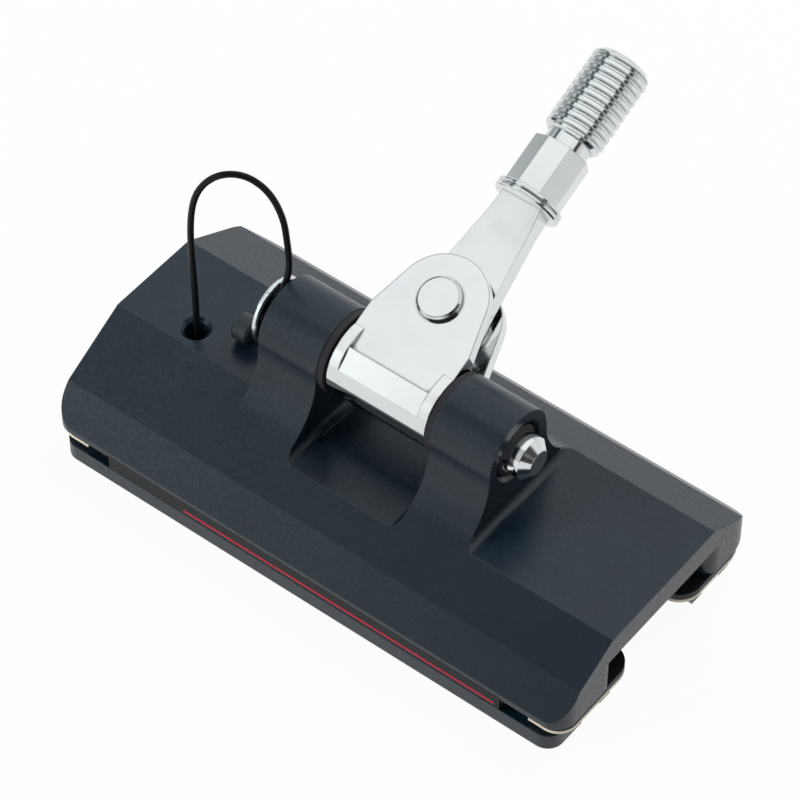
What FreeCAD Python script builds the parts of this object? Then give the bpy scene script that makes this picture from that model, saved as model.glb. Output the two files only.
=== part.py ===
import FreeCAD, Part
import math
import os

import Sketcher

# Batten car for a T-shaped mast track, in millimetres.
# The origin is the centre of the car's underside. X runs along the track, Y across it, Z away from the mast.

Vector = FreeCAD.Vector

# Driving dimensions: name, value, meaning.
DIMENSIONS = (
    ("body_length", 139.0, "length of the upper body"),
    ("body_width", 71.0, "width over the side walls"),
    ("body_height", 26.5, "height of the flat on top, left of the ears"),
    ("right_flat_height", 23.2, "height of the milled flat right of the ears"),
    ("top_flat_width", 24.3, "width of the flat on top"),
    ("shoulder_width", 59.0, "width where the slopes meet the steep bands"),
    ("shoulder_height", 17.0, "height of that line"),
    ("sill_height", 9.5, "height of the upright side walls"),
    ("near_corner_radius", 5.0, "plan radius of the upper body's near corners"),
    ("far_corner_radius", 9.0, "plan radius of the upper body's far corners"),
    ("foot_setback", 2.2, "setback of the legs and lips behind each end"),
    ("near_foot_radius", 4.0, "plan radius of the near leg's corners"),
    ("far_foot_radius", 8.0, "plan radius of the far leg's corners"),
    ("channel_width", 33.0, "width of the channel for the track's head"),
    ("channel_ceiling", 16.6, "height of the channel's ceiling"),
    ("mouth_radius", 4.0, "plan radius at the channel's ends"),
    ("flange_gap", 18.0, "gap between the inward flanges, for the track's neck"),
    ("flange_edge_height", 6.5, "underside of the flange at its edge"),
    ("ramp_width", 26.0, "gap where the flange's underside meets the lip"),
    ("lip_height", 4.2, "top of the lip, which is the floor of the end slots"),
    ("lip_gap", 30.0, "gap between the lips at the bottom"),
    ("slot_top", 8.0, "ceiling of the end slots and top of the flanges"),
    ("slot_length", 15.8, "length of each end slot, from the body's end"),
    ("notch_width", 6.5, "width of the notch in each lip's end"),
    ("notch_depth", 4.0, "depth of that notch"),
    ("notch_middle", 21.75, "distance of the notch from the middle plane"),
    ("recess_depth", 0.8, "depth of the side recess for the tape"),
    ("recess_height", 4.4, "height of that recess"),
    ("tape_setback", 16.0, "distance of the side tape from each end"),
    ("tape_thickness", 0.75, "thickness of the side tape"),
    ("tape_margin", 0.1, "gap above and below the tape"),
    ("ear_radius", 10.0, "radius of the ears about the pin"),
    ("ear_reach", 31.0, "distance of the ears' outer faces from the middle"),
    ("ear_gap", 30.6, "gap between the ears"),
    ("ear_blend", 16.5, "radius between the ears and the slopes"),
    ("pin_height", 38.3, "height of the pin's axis"),
    ("pocket_floor", 21.3, "floor between the ears"),
    ("wall_blend", 2.0, "radius where the ears stand on their floors"),
    ("scoop_width", 21.6, "width of the shallow scoop under the barrel"),
    ("scoop_depth", 0.8, "depth of that scoop"),
    ("ear_mouth_radius", 7.4, "radius of the ear bore's outer chamfer"),
    ("ball_radius", 3.0, "radius of the recirculating balls"),
    ("ball_clearance", 0.1, "gap between a ball and its groove"),
    ("ball_height", 8.4, "height of the balls' centres"),
    ("ball_spacing", 0.05, "least gap between two balls"),
    ("load_run", 13.3, "distance of the load run from the middle plane"),
    ("return_setback", 8.0, "distance of the return run from the side wall"),
    ("turn_setback", 12.5, "distance of the ball turns' centres from each end"),
    ("guide_length", 15.5, "length of an end guide"),
    ("guide_inner", 9.0, "inner edge of an end guide, from the middle plane"),
    ("guide_setback", 1.0, "setback of the guide's outer edge behind the side wall"),
    ("guide_base_height", 1.1, "height of the guide's inset base"),
    ("guide_inset", 2.0, "inset of that base"),
    ("guide_corner", 5.5, "plan radius of the guide's corner at the channel"),
    ("guide_shoulder", 6.5, "length of the guide's stretch behind the window"),
    ("guide_window", 3.0, "setback of the guide behind the window"),
    ("seat_gap", 0.05, "gap between the end guide and its slot"),
    ("screw_radius", 1.5, "radius of the guide screws"),
    ("screw_head_radius", 2.9, "radius of their countersunk heads"),
    ("screw_head_height", 1.5, "height of their countersunk heads"),
    ("screw_depth", 4.5, "depth of the screws in the body above the slot"),
    ("screw_clearance", 0.05, "gap round the screws"),
    ("socket_radius", 1.1, "radius of the screw's hexagon socket"),
    ("socket_depth", 1.0, "depth of that socket"),
    ("wire_radius", 0.4, "radius of the ball wires"),
    ("wire_setback", 7.5, "distance of the wires' bent ends from each end"),
    ("wire_offset", 10.4, "distance of the wires from the middle plane"),
    ("wire_height", 10.5, "height of the wires"),
    ("wire_bend", 1.8, "bend radius of the wires"),
    ("wire_depth", 2.0, "depth of the wires' ends in the guides"),
    ("bush_wall", 1.13, "wall of the bushes"),
    ("bush_flange_radius", 9.8, "radius of the bushes' flanges"),
    ("bush_flange_thickness", 1.65, "thickness of those flanges"),
    ("bush_recess", 0.4, "setback of the bush behind the ear's outer face"),
    ("press_gap", 0.02, "gap round a pressed piece"),
    ("pin_radius", 5.0, "radius of the pin"),
    ("running_gap", 0.05, "gap between the pin and its bushes"),
    ("pin_tip", 36.3, "distance of the pin's tip from the middle"),
    ("tip_chamfer", 2.0, "chamfer at the pin's tip"),
    ("neck_length", 2.3, "length of the pin's bare neck outside the left ear"),
    ("head_radius", 8.1, "radius of the pin's head"),
    ("head_thickness", 1.5, "thickness of that head"),
    ("head_edge", 0.4, "chamfer of that head"),
    ("spigot_radius", 4.0, "radius of the spigot that carries the head"),
    ("button_radius", 3.0, "radius of the release button"),
    ("button_edge", 0.5, "chamfer of the release button"),
    ("button_rise", 1.9, "height of the button above the head"),
    ("button_length", 4.6, "length of the button without its spindle"),
    ("button_travel", 1.8, "travel of the button"),
    ("spindle_radius", 1.5, "radius of the button's spindle"),
    ("cavity_depth", 10.8, "depth of the spring's cavity in the pin"),
    ("spring_wire", 0.45, "width of the spring's wire"),
    ("spring_pitch", 1.55, "pitch of the spring"),
    ("spring_gap", 0.05, "gap at each end of the spring"),
    ("lock_ball_radius", 1.9, "radius of the lock balls"),
    ("lock_ball_place", 32.0, "distance of the lock balls from the middle"),
    ("tip_wall", 0.7, "wall that closes the pin's tip"),
    ("end_play", 0.1, "gap between the pressed button's spindle and that wall"),
    ("lock_gap", 0.08, "gap between the lock balls and the spindle"),
    ("lock_cone_length", 2.35, "length of the spindle's cone"),
    ("lock_groove_radius", 0.85, "radius of the spindle at the cone's end"),
    ("lock_groove_step", 0.3, "length of the groove's sloping start"),
    ("rest_lean_angle", 66.5, "lean of the toggle from upright, in degrees"),
    ("barrel_radius", 9.2, "radius of the toggle's barrel"),
    ("barrel_length", 26.3, "length of the toggle's barrel"),
    ("barrel_gap", 0.1, "gap between the barrel's bore and the pin"),
    ("cheek_width", 16.0, "width over the toggle's cheeks"),
    ("cheek_radius", 10.7, "radius of the cheeks about the rivet"),
    ("cheek_shoulder", 10.4, "height above the pin where the cheeks narrow"),
    ("cheek_slot", 8.8, "gap between the cheeks"),
    ("slot_floor", 9.3, "distance of the gap's floor from the pin's axis"),
    ("collar_length", 2.6, "length of the round collars at the barrel's ends"),
    ("flat_depth", 0.7, "reach of the cheek's flat below the pin's axis"),
    ("facet_depth", 6.0, "reach of the second flat below the pin's axis"),
    ("rivet_rise", 18.0, "distance from the pin's axis to the rivet's"),
    ("rivet_radius", 3.0, "radius of the rivet"),
    ("rivet_gap", 0.06, "gap round the rivet"),
    ("rivet_head_radius", 5.0, "radius of the rivet's heads"),
    ("rivet_head_height", 1.6, "height of the rivet's heads"),
    ("rivet_head_edge", 0.45, "chamfer round the rivet's heads"),
    ("washer_radius", 8.0, "radius of the blade washers"),
    ("washer_gap", 0.1, "gap beside the blade washers"),
    ("blade_thickness", 5.0, "thickness of the stud's blade"),
    ("blade_eye_radius", 8.4, "radius of the blade's eye"),
    ("blade_end_width", 10.0, "width of the blade at the flange"),
    ("blade_ramp", 24.0, "distance from the rivet where the blade thickens"),
    ("blade_end_thickness", 6.6, "thickness of the blade at the flange"),
    ("stud_flange_place", 29.0, "distance of the stud's flange from the rivet"),
    ("stud_flange_radius", 8.0, "radius of that flange"),
    ("stud_flange_thickness", 2.3, "thickness of that flange"),
    ("rim_groove", 0.35, "depth of the groove round the flange's rim"),
    ("wrench_width", 13.0, "width across the wrench flats"),
    ("wrench_length", 12.0, "length of the wrench section"),
    ("wrench_root", 0.5, "depth of the wrench section in the flange"),
    ("wrench_turn", 8.9, "turn of the wrench section, in degrees"),
    ("wrench_sides", 8, "number of wrench flats"),
    ("neck_radius", 5.3, "radius of the neck below the thread"),
    ("neck_reach", 3.7, "length of that neck"),
    ("thread_radius", 7.0, "outer radius of the thread"),
    ("thread_length", 20.2, "length of the thread"),
    ("thread_chamfer", 1.2, "chamfer at both ends of the thread"),
    ("cord_radius", 0.75, "radius of the lanyard"),
    ("hole_setback", 18.1, "distance of the lanyard's hole from the left end"),
    ("hole_offset", 7.0, "distance of that hole from the middle plane"),
    ("hole_radius", 2.7, "radius of that hole"),
    ("hole_rim_radius", 3.65, "radius of its countersunk rim"),
    ("stop_radius", 3.0, "radius of the crimp below the hole"),
    ("stop_height", 2.6, "height of that crimp"),
    ("stop_gap", 0.2, "gap round that crimp"),
    ("stop_depth", 3.0, "depth of its counterbore"),
    ("ferrule_radius", 3.2, "radius of the lanyard's ferrule"),
    ("ferrule_length", 4.6, "length of the lanyard's ferrule"),
    ("ferrule_chamfer", 0.6, "chamfer of the lanyard's ferrule"),
)

# Route of the lanyard from its crimp to its ferrule: an arch, then once over the pin's neck.
LANYARD_ROUTE = (
    (-51.4, -7.0, 19.6),
    (-51.1, -6.8, 33.0),
    (-51.4, -7.0, 47.5),
    (-51.6, -6.9, 60.0),
    (-50.2, -6.2, 69.6),
    (-46.2, -4.0, 75.6),
    (-40.8, -1.1, 76.8),
    (-36.3, 1.4, 72.6),
    (-33.7, 2.8, 65.0),
    (-33.1, 3.2, 56.5),
    (-32.5, 3.1, 49.8),
    (-32.3, 0.3, 45.4),
    (-32.3, -4.9, 43.2),
    (-32.3, -7.3, 38.6),
    (-32.4, -6.9, 33.9),
    (-33.3, -5.0, 30.6),
    (-35.6, -3.4, 29.5),
    (-38.2, -2.7, 30.0),
)
ARC_SHARE = 0.45
MARGIN = 3.0


class Size:
    """A driving dimension or a sum of them: its number, and its text in an expression."""

    def __init__(self, number, text):
        self.number = number
        self.text = text

    def __float__(self):
        return float(self.number)

    def __add__(self, other):
        return Size(self.number + number_of(other), f"({self.text} + {text_of(other)})")

    def __sub__(self, other):
        return Size(self.number - number_of(other), f"({self.text} - {text_of(other)})")

    def __mul__(self, other):
        return Size(self.number * number_of(other), f"({self.text} * {text_of(other)})")

    def __truediv__(self, other):
        return Size(self.number / number_of(other), f"({self.text} / {text_of(other)})")

    def __neg__(self):
        return Size(-self.number, f"(0 - {self.text})")

    __radd__ = __add__
    __rmul__ = __mul__


def number_of(value):
    return float(value.number) if isinstance(value, Size) else float(value)


def text_of(value):
    return value.text if isinstance(value, Size) else repr(float(value))


def root(value):
    return Size(math.sqrt(value.number), f"sqrt({value.text})")


def sine(angle):
    return Size(math.sin(math.radians(angle.number)), f"sin({angle.text} * 1 deg)")


def cosine(angle):
    return Size(math.cos(math.radians(angle.number)), f"cos({angle.text} * 1 deg)")


class Sizes:
    """The spreadsheet's dimensions by name."""

    def __init__(self, doc):
        sheet = doc.addObject("Spreadsheet::Sheet", "Sizes")
        for row, (name, value, meaning) in enumerate(DIMENSIONS, start=1):
            sheet.set(f"A{row}", meaning)
            sheet.set(f"B{row}", str(value))
            sheet.setAlias(f"B{row}", name)
        doc.recompute()
        for name, _, _ in DIMENSIONS:
            setattr(self, name, Size(getattr(sheet, name), f"Sizes.{name}"))
        half_length = self.body_length / 2
        half_width = self.body_width / 2
        self.foot_length = self.body_length - self.foot_setback * 2
        self.tape_length = self.body_length - self.tape_setback * 2
        self.turn_centre = half_length - self.turn_setback
        self.wire_reach = half_length - self.wire_setback
        self.hole_place = half_length - self.hole_setback
        self.return_run = half_width - self.return_setback
        self.guide_outer = half_width - self.guide_setback


def bind(target, prop, value):
    """Sets a property and ties it to the sheet."""
    if isinstance(value, Size):
        target.setExpression(prop, value.text)
    else:
        setattr(target, prop, value)


def new_body(doc, name):
    body = doc.addObject("PartDesign::Body", name)
    body.Label = name
    return body


def new_sketch(body, role, name, offset=0.0):
    """A sketch on one of the body's origin planes, moved along the plane's normal."""
    sketch = body.newObject("Sketcher::SketchObject", name)
    plane = next(item for item in body.Origin.OriginFeatures if item.Role == role)
    sketch.AttachmentSupport = [(plane, "")]
    sketch.MapMode = "FlatFace"
    if isinstance(offset, Size):
        sketch.setExpression("AttachmentOffset.Base.z", offset.text)
    return sketch


def fix(sketch, geometry, end, place):
    """Ties a point of the sketch to the sheet. A coordinate of None stays free."""
    for kind, value in zip(("DistanceX", "DistanceY"), place):
        if value is None:
            continue
        index = sketch.addConstraint(Sketcher.Constraint(kind, geometry, end, number_of(value)))
        if isinstance(value, Size):
            sketch.setExpression(f"Constraints[{index}]", value.text)


def fix_radius(sketch, geometry, radius):
    index = sketch.addConstraint(Sketcher.Constraint("Radius", geometry, number_of(radius)))
    if isinstance(radius, Size):
        sketch.setExpression(f"Constraints[{index}]", radius.text)


def join(sketch, kind, geometry, end, other, other_end):
    sketch.addConstraint(Sketcher.Constraint(kind, geometry, end, other, other_end))


def flat_point(place):
    return Vector(number_of(place[0]), number_of(place[1]), 0)


def line(sketch, start, end, construction=False):
    return sketch.addGeometry(Part.LineSegment(flat_point(start), flat_point(end)), construction)


def circle(sketch, centre, radius):
    index = sketch.addGeometry(Part.Circle(flat_point(centre), Vector(0, 0, 1), number_of(radius)), False)
    fix(sketch, index, 3, centre)
    fix_radius(sketch, index, radius)
    return index


def arc(sketch, centre, start, end):
    """An arc the short way from start to end. Returns it with the numbers of its ends."""
    middle = flat_point(centre)
    first, last = flat_point(start) - middle, flat_point(end) - middle
    angles = [math.atan2(spoke.y, spoke.x) for spoke in (first, last)]
    counter = (angles[1] - angles[0]) % (2 * math.pi) <= math.pi + 1e-9
    if not counter:
        angles.reverse()
    round_edge = Part.Circle(middle, Vector(0, 0, 1), first.Length)
    index = sketch.addGeometry(Part.ArcOfCircle(round_edge, angles[0], angles[1]), False)
    return (index, 1, 2) if counter else (index, 2, 1)


def polygon(sketch, corners):
    """A closed outline of straight lines whose corners are tied to the sheet."""
    edges = [line(sketch, corner, corners[(i + 1) % len(corners)]) for i, corner in enumerate(corners)]
    for i, edge in enumerate(edges):
        join(sketch, "Coincident", edge, 2, edges[(i + 1) % len(edges)], 1)
        fix(sketch, edge, 1, corners[i])
    return edges


def rectangle(sketch, low, high):
    return polygon(sketch, [low, (high[0], low[1]), high, (low[0], high[1])])


def both_sides(half):
    """A closed outline from its right half, listed from the top middle round to the bottom middle."""
    return half + [(-across, up) for across, up in reversed(half)]


def open_chain(sketch, points, bound):
    """Joined lines through the points; bound says which points are tied to the sheet."""
    edges = [line(sketch, start, end) for start, end in zip(points, points[1:])]
    for before, after in zip(edges, edges[1:]):
        join(sketch, "Coincident", before, 2, after, 1)
    for i, point in enumerate(points):
        if bound[i]:
            edge, end = (edges[i], 1) if i < len(edges) else (edges[-1], 2)
            fix(sketch, edge, end, point)
    return edges


def round_off(sketch, corner, outward, radius):
    """The waste outside one rounded plan corner. outward points away from the solid."""
    x, y = corner
    across, along = outward
    start = (x - radius * across, y)
    end = (x, y - radius * along)
    centre = (x - radius * across, y - radius * along)
    chain = [
        start,
        (start[0], y + MARGIN * along),
        (x + MARGIN * across, y + MARGIN * along),
        (x + MARGIN * across, end[1]),
        end,
    ]
    edges = open_chain(sketch, chain, [True] * len(chain))
    curve, curve_start, curve_end = arc(sketch, centre, end, start)
    join(sketch, "Coincident", edges[-1], 2, curve, curve_start)
    join(sketch, "Coincident", edges[0], 1, curve, curve_end)
    fix_radius(sketch, curve, radius)


def pad(body, sketch, name, length, symmetric=False):
    feature = body.newObject("PartDesign::Pad", name)
    feature.Profile = sketch
    bind(feature, "Length", length)
    if symmetric:
        feature.SideType = "Symmetric"
    return feature


def pocket(body, sketch, name, length, symmetric=False, upward=False):
    feature = body.newObject("PartDesign::Pocket", name)
    feature.Profile = sketch
    bind(feature, "Length", length)
    if symmetric:
        feature.SideType = "Symmetric"
    feature.Reversed = upward
    return feature


def revolution(body, sketch, name, axis):
    feature = body.newObject("PartDesign::Revolution", name)
    feature.Profile = sketch
    feature.ReferenceAxis = (sketch, [axis])
    feature.Angle = 360
    return feature


def half_turn_groove(body, sketch, name):
    """Cuts a half turn of the sketch about its first construction line, evenly to both sides."""
    feature = body.newObject("PartDesign::Groove", name)
    feature.Profile = sketch
    feature.ReferenceAxis = (sketch, ["Axis0"])
    feature.Midplane = True
    feature.Angle = 180
    return feature


def turned(doc, name, profile, role="XZ_Plane"):
    """A turned piece: a half profile of (along, radius) corners spun about the sketch's first axis."""
    body = new_body(doc, name)
    sketch = new_sketch(body, role, name + "_profile")
    polygon(sketch, profile)
    revolution(body, sketch, name + "_turned", "H_Axis")
    return body


def set_place(piece, x=None, y=None, z=None):
    for axis, value in zip("xyz", (x, y, z)):
        if value is not None:
            piece.setExpression(f"Placement.Base.{axis}", value.text)


def make_car_body(doc, s):
    """The milled body: block, legs, lips, ears, pocket, channel, slots and ball tracks."""
    body = new_body(doc, "car_body")
    half_width = s.body_width / 2
    half_length = s.body_length / 2
    half_foot = s.foot_length / 2
    half_channel = s.channel_width / 2

    block = new_sketch(body, "YZ_Plane", "block_section")
    block_half = [
        (s.top_flat_width / 2, s.body_height),
        (s.shoulder_width / 2, s.shoulder_height),
        (half_width, s.sill_height),
        (half_width, s.slot_top),
        (half_channel, s.slot_top),
        (half_channel, s.channel_ceiling),
    ]
    polygon(block, both_sides(block_half))
    pad(body, block, "block", s.body_length, symmetric=True)

    corners = new_sketch(body, "XY_Plane", "block_corners", s.body_height)
    mouth = new_sketch(body, "XY_Plane", "channel_mouth", s.channel_ceiling)
    for end in (1, -1):
        for side, radius in ((1, s.far_corner_radius), (-1, s.near_corner_radius)):
            round_off(corners, (half_length * end, half_width * side), (end, side), radius)
            round_off(mouth, (half_length * end, half_channel * side), (end, -side), s.mouth_radius)
    pocket(body, corners, "block_corner_cuts", s.body_height)
    pocket(body, mouth, "channel_mouth_cuts", s.channel_ceiling)

    legs = new_sketch(body, "YZ_Plane", "leg_section")
    for side in (1, -1):
        polygon(legs, [
            (s.flange_gap / 2 * side, s.slot_top),
            (half_width * side, s.slot_top),
            (half_width * side, 0),
            (s.lip_gap / 2 * side, 0),
            (s.ramp_width / 2 * side, s.lip_height),
            (s.flange_gap / 2 * side, s.flange_edge_height),
        ])
    pad(body, legs, "legs", s.foot_length, symmetric=True)

    feet = new_sketch(body, "XY_Plane", "foot_corners", s.slot_top)
    for end in (1, -1):
        for side, radius in ((1, s.far_foot_radius), (-1, s.near_foot_radius)):
            round_off(feet, (half_foot * end, half_width * side), (end, side), radius)
    pocket(body, feet, "foot_corner_cuts", s.slot_top + 1)

    slots = new_sketch(body, "XY_Plane", "end_slots", s.slot_top)
    notches = new_sketch(body, "XY_Plane", "lip_notches", s.slot_top)
    for end in (1, -1):
        rectangle(slots, ((half_length - s.slot_length) * end, -(half_width + MARGIN)),
                  ((half_length + MARGIN) * end, half_width + MARGIN))
        for side in (1, -1):
            near = (s.notch_middle - s.notch_width / 2) * side
            far = (s.notch_middle + s.notch_width / 2) * side
            rectangle(notches, ((half_foot - s.notch_depth) * end, near), ((half_foot + MARGIN) * end, far))
    pocket(body, slots, "end_slot_cuts", s.slot_top - s.lip_height)
    pocket(body, notches, "lip_notch_cuts", s.slot_top + 1)

    recess = new_sketch(body, "YZ_Plane", "tape_recess")
    for side in (1, -1):
        rectangle(recess, ((half_width - s.recess_depth) * side, s.lip_height),
                  ((half_width + MARGIN) * side, s.lip_height + s.recess_height))
    pocket(body, recess, "tape_recess_cut", s.body_length - s.slot_length * 2, symmetric=True)

    add_ears(body, s)
    cut_ball_tracks(body, s)
    cut_holes(doc, body, s)
    return body


def add_ears(body, s):
    """Both ears as one pad, then the gap, the right flat and the scoop milled between and beside them."""
    flat = (s.top_flat_width / 2, s.body_height)
    shoulder = (s.shoulder_width / 2, s.shoulder_height)
    fall = (flat[1] - shoulder[1]) / (shoulder[0] - flat[0])
    inside = s.pocket_floor - MARGIN
    foot_across = (flat[0] + shoulder[0]) / 2
    foot_up = (flat[1] + shoulder[1]) / 2
    radius, blend = float(s.ear_radius), float(s.ear_blend)
    centre_up = (number_of(flat[1]) - fall.number * (radius + blend - number_of(flat[0]))
                 + blend * math.hypot(1, fall.number))
    touch_across = radius + blend - blend * fall.number / math.hypot(1, fall.number)
    touch_up = centre_up - blend / math.hypot(1, fall.number)

    profile = new_sketch(body, "YZ_Plane", "ear_profile")
    crown = profile.addGeometry(Part.ArcOfCircle(
        Part.Circle(Vector(0, s.pin_height.number, 0), Vector(0, 0, 1), radius), 0, math.pi), False)
    fix(profile, crown, 3, (0, s.pin_height))
    fix_radius(profile, crown, s.ear_radius)
    feet = []
    for side, crown_end in ((1, 1), (-1, 2)):
        wall = line(profile, (radius * side, s.pin_height), (radius * side, centre_up))
        profile.addConstraint(Sketcher.Constraint("Vertical", wall))
        join(profile, "Tangent", crown, crown_end, wall, 1)
        curve, curve_start, curve_end = arc(
            profile, ((radius + blend) * side, centre_up), (radius * side, centre_up),
            (touch_across * side, touch_up))
        fix_radius(profile, curve, s.ear_blend)
        join(profile, "Tangent", wall, 2, curve, curve_start)
        slope = line(profile, (touch_across * side, touch_up), (foot_across * side, foot_up))
        join(profile, "Tangent", curve, curve_end, slope, 1)
        fix(profile, slope, 2, (foot_across * side, foot_up))
        guide = line(profile, (flat[0] * side, flat[1]), (shoulder[0] * side, shoulder[1]), True)
        fix(profile, guide, 1, (flat[0] * side, flat[1]))
        fix(profile, guide, 2, (shoulder[0] * side, shoulder[1]))
        profile.addConstraint(Sketcher.Constraint("Parallel", slope, guide))
        drop = line(profile, (foot_across * side, foot_up), (foot_across * side, inside))
        join(profile, "Coincident", slope, 2, drop, 1)
        fix(profile, drop, 2, (foot_across * side, inside))
        feet.append(drop)
    floor = line(profile, (foot_across, inside), (-foot_across, inside))
    join(profile, "Coincident", feet[0], 2, floor, 1)
    join(profile, "Coincident", feet[1], 2, floor, 2)
    pad(body, profile, "ears", s.ear_reach * 2, symmetric=True)

    above = s.pin_height + s.ear_radius + MARGIN
    gap = new_sketch(body, "XZ_Plane", "ear_gap_profile")
    milled_profile(gap, -(s.ear_gap / 2), s.ear_gap / 2, s.pocket_floor, above, s.wall_blend, True)
    pocket(body, gap, "ear_gap_cut", s.body_width + MARGIN, symmetric=True)
    flat_cut = new_sketch(body, "XZ_Plane", "right_flat_profile")
    milled_profile(flat_cut, s.ear_reach, s.body_length / 2 + MARGIN, s.right_flat_height, above,
                   s.wall_blend, False)
    pocket(body, flat_cut, "right_flat_cut", s.body_width + MARGIN, symmetric=True)

    half_scoop = s.scoop_width / 2
    scoop_radius = (half_scoop * half_scoop + s.scoop_depth * s.scoop_depth) / (s.scoop_depth * 2)
    scoop = new_sketch(body, "YZ_Plane", "scoop_profile")
    lid = open_chain(scoop, [
        (half_scoop, s.pocket_floor), (half_scoop, s.pocket_floor + 1),
        (-half_scoop, s.pocket_floor + 1), (-half_scoop, s.pocket_floor)], [True] * 4)
    curve, curve_start, curve_end = arc(
        scoop, (0, s.pocket_floor - s.scoop_depth + scoop_radius),
        (-half_scoop, s.pocket_floor), (half_scoop, s.pocket_floor))
    join(scoop, "Coincident", lid[-1], 2, curve, curve_start)
    join(scoop, "Coincident", lid[0], 1, curve, curve_end)
    fix_radius(scoop, curve, scoop_radius)
    pocket(body, scoop, "scoop_cut", s.ear_gap - s.wall_blend * 2, symmetric=True)


def milled_profile(sketch, left, right, low, high, radius, both):
    """A milled step seen from the side: its floor meets the left wall, or both walls, in a radius."""
    left_wall = line(sketch, (left, high), (left, low + radius))
    curve, curve_start, curve_end = arc(
        sketch, (left + radius, low + radius), (left, low + radius), (left + radius, low))
    floor_end = right - radius if both else right
    floor = line(sketch, (left + radius, low), (floor_end, low))
    fix(sketch, left_wall, 1, (left, high))
    fix(sketch, left_wall, 2, (left, low + radius))
    join(sketch, "Coincident", left_wall, 2, curve, curve_start)
    join(sketch, "Coincident", curve, curve_end, floor, 1)
    fix(sketch, floor, 1, (left + radius, low))
    fix(sketch, floor, 2, (floor_end, low))
    fix_radius(sketch, curve, radius)
    wall_foot = (right, low + radius) if both else (right, low)
    right_wall = line(sketch, wall_foot, (right, high))
    fix(sketch, right_wall, 2, (right, high))
    if both:
        fix(sketch, right_wall, 1, wall_foot)
        other, other_start, other_end = arc(
            sketch, (right - radius, low + radius), (right - radius, low), wall_foot)
        join(sketch, "Coincident", floor, 2, other, other_start)
        join(sketch, "Coincident", other, other_end, right_wall, 1)
        fix_radius(sketch, other, radius)
    else:
        join(sketch, "Coincident", floor, 2, right_wall, 1)
    top = line(sketch, (right, high), (left, high))
    join(sketch, "Coincident", right_wall, 2, top, 1)
    join(sketch, "Coincident", top, 2, left_wall, 1)


def cut_ball_tracks(body, s):
    """The straight ball runs, and the upper half of the four turns that join them."""
    track_radius = s.ball_radius + s.ball_clearance
    runs = new_sketch(body, "YZ_Plane", "ball_runs")
    for side in (1, -1):
        circle(runs, (s.load_run * side, s.ball_height), track_radius)
        circle(runs, (s.return_run * side, s.ball_height), track_radius)
    pocket(body, runs, "ball_run_cuts", s.turn_centre * 2, symmetric=True)
    turn_middle = (s.load_run + s.return_run) / 2
    turn_radius = (s.return_run - s.load_run) / 2
    for end, end_name in ((1, "right"), (-1, "left")):
        for side, side_name in ((1, "far"), (-1, "near")):
            turn = new_sketch(body, "XZ_Plane", f"ball_turn_{side_name}_{end_name}", -(turn_middle * side))
            spin = line(turn, (s.turn_centre * end, 0), (s.turn_centre * end, s.ball_height), True)
            fix(turn, spin, 1, (s.turn_centre * end, 0))
            fix(turn, spin, 2, (s.turn_centre * end, s.ball_height))
            circle(turn, ((s.turn_centre + turn_radius) * end, s.ball_height), track_radius)
            half_turn_groove(body, turn, f"ball_turn_cut_{side_name}_{end_name}")


def cut_holes(doc, body, s):
    """The ear bores, the guide screws' holes and the lanyard's hole."""
    bush_radius = s.pin_radius + s.running_gap + s.bush_wall
    bore = new_sketch(body, "YZ_Plane", "ear_bore")
    circle(bore, (0, s.pin_height), bush_radius + s.press_gap)
    pocket(body, bore, "ear_bore_cut", s.ear_reach * 2 + MARGIN, symmetric=True)
    doc.recompute()

    screws = new_sketch(body, "XY_Plane", "screw_places")
    turn_middle = (s.load_run + s.return_run) / 2
    for end in (1, -1):
        for side in (1, -1):
            circle(screws, (s.turn_centre * end, turn_middle * side), s.screw_radius)
    doc.recompute()
    holes = body.newObject("PartDesign::Hole", "screw_holes")
    holes.Profile = screws
    holes.Reversed = True
    holes.DepthType = "Dimension"
    holes.DrillPoint = "Flat"
    bind(holes, "Diameter", (s.screw_radius + s.screw_clearance) * 2)
    bind(holes, "Depth", s.slot_top + s.screw_depth + 0.5)
    holes.HoleCutType = "Countersink"
    holes.HoleCutCustomValues = True
    bind(holes, "HoleCutDiameter", (s.screw_head_radius + s.screw_clearance) * 2)
    holes.HoleCutCountersinkAngle = 90
    doc.recompute()

    lanyard = new_sketch(body, "XY_Plane", "lanyard_hole", s.body_height)
    circle(lanyard, (-s.hole_place, -s.hole_offset), s.hole_radius)
    pocket(body, lanyard, "lanyard_hole_cut", s.body_height - s.channel_ceiling + 1)
    counterbore = new_sketch(body, "XY_Plane", "lanyard_counterbore", s.channel_ceiling - 1)
    circle(counterbore, (-s.hole_place, -s.hole_offset), s.stop_radius + s.stop_gap)
    pocket(body, counterbore, "lanyard_counterbore_cut", s.stop_depth + 1, upward=True)
    doc.recompute()

    chamfer(body, "lanyard_rim", lambda shape: rim_edges(shape, s.hole_radius, "z", s.body_height),
            s.hole_rim_radius - s.hole_radius)
    doc.recompute()
    chamfer(body, "ear_bore_mouths", lambda shape: [
        name for face in (s.ear_reach, -s.ear_reach)
        for name in rim_edges(shape, bush_radius + s.press_gap, "x", face)],
            s.ear_mouth_radius - bush_radius)


def chamfer(body, name, find_edges, size):
    """Chamfers the edges that find_edges names on the body's last feature."""
    base = body.Tip
    feature = body.newObject("PartDesign::Chamfer", name)
    feature.Base = (base, find_edges(base.Shape))
    bind(feature, "Size", size)


def rim_edges(shape, radius, axis, place):
    """Names of the round edges of that radius in the plane axis = place."""
    names = []
    for index, edge in enumerate(shape.Edges, start=1):
        if not isinstance(edge.Curve, Part.Circle):
            continue
        same_size = abs(edge.Curve.Radius - float(radius)) < 1e-3
        if same_size and abs(getattr(edge.Curve.Center, axis) - float(place)) < 1e-3:
            names.append(f"Edge{index}")
    return names


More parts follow.
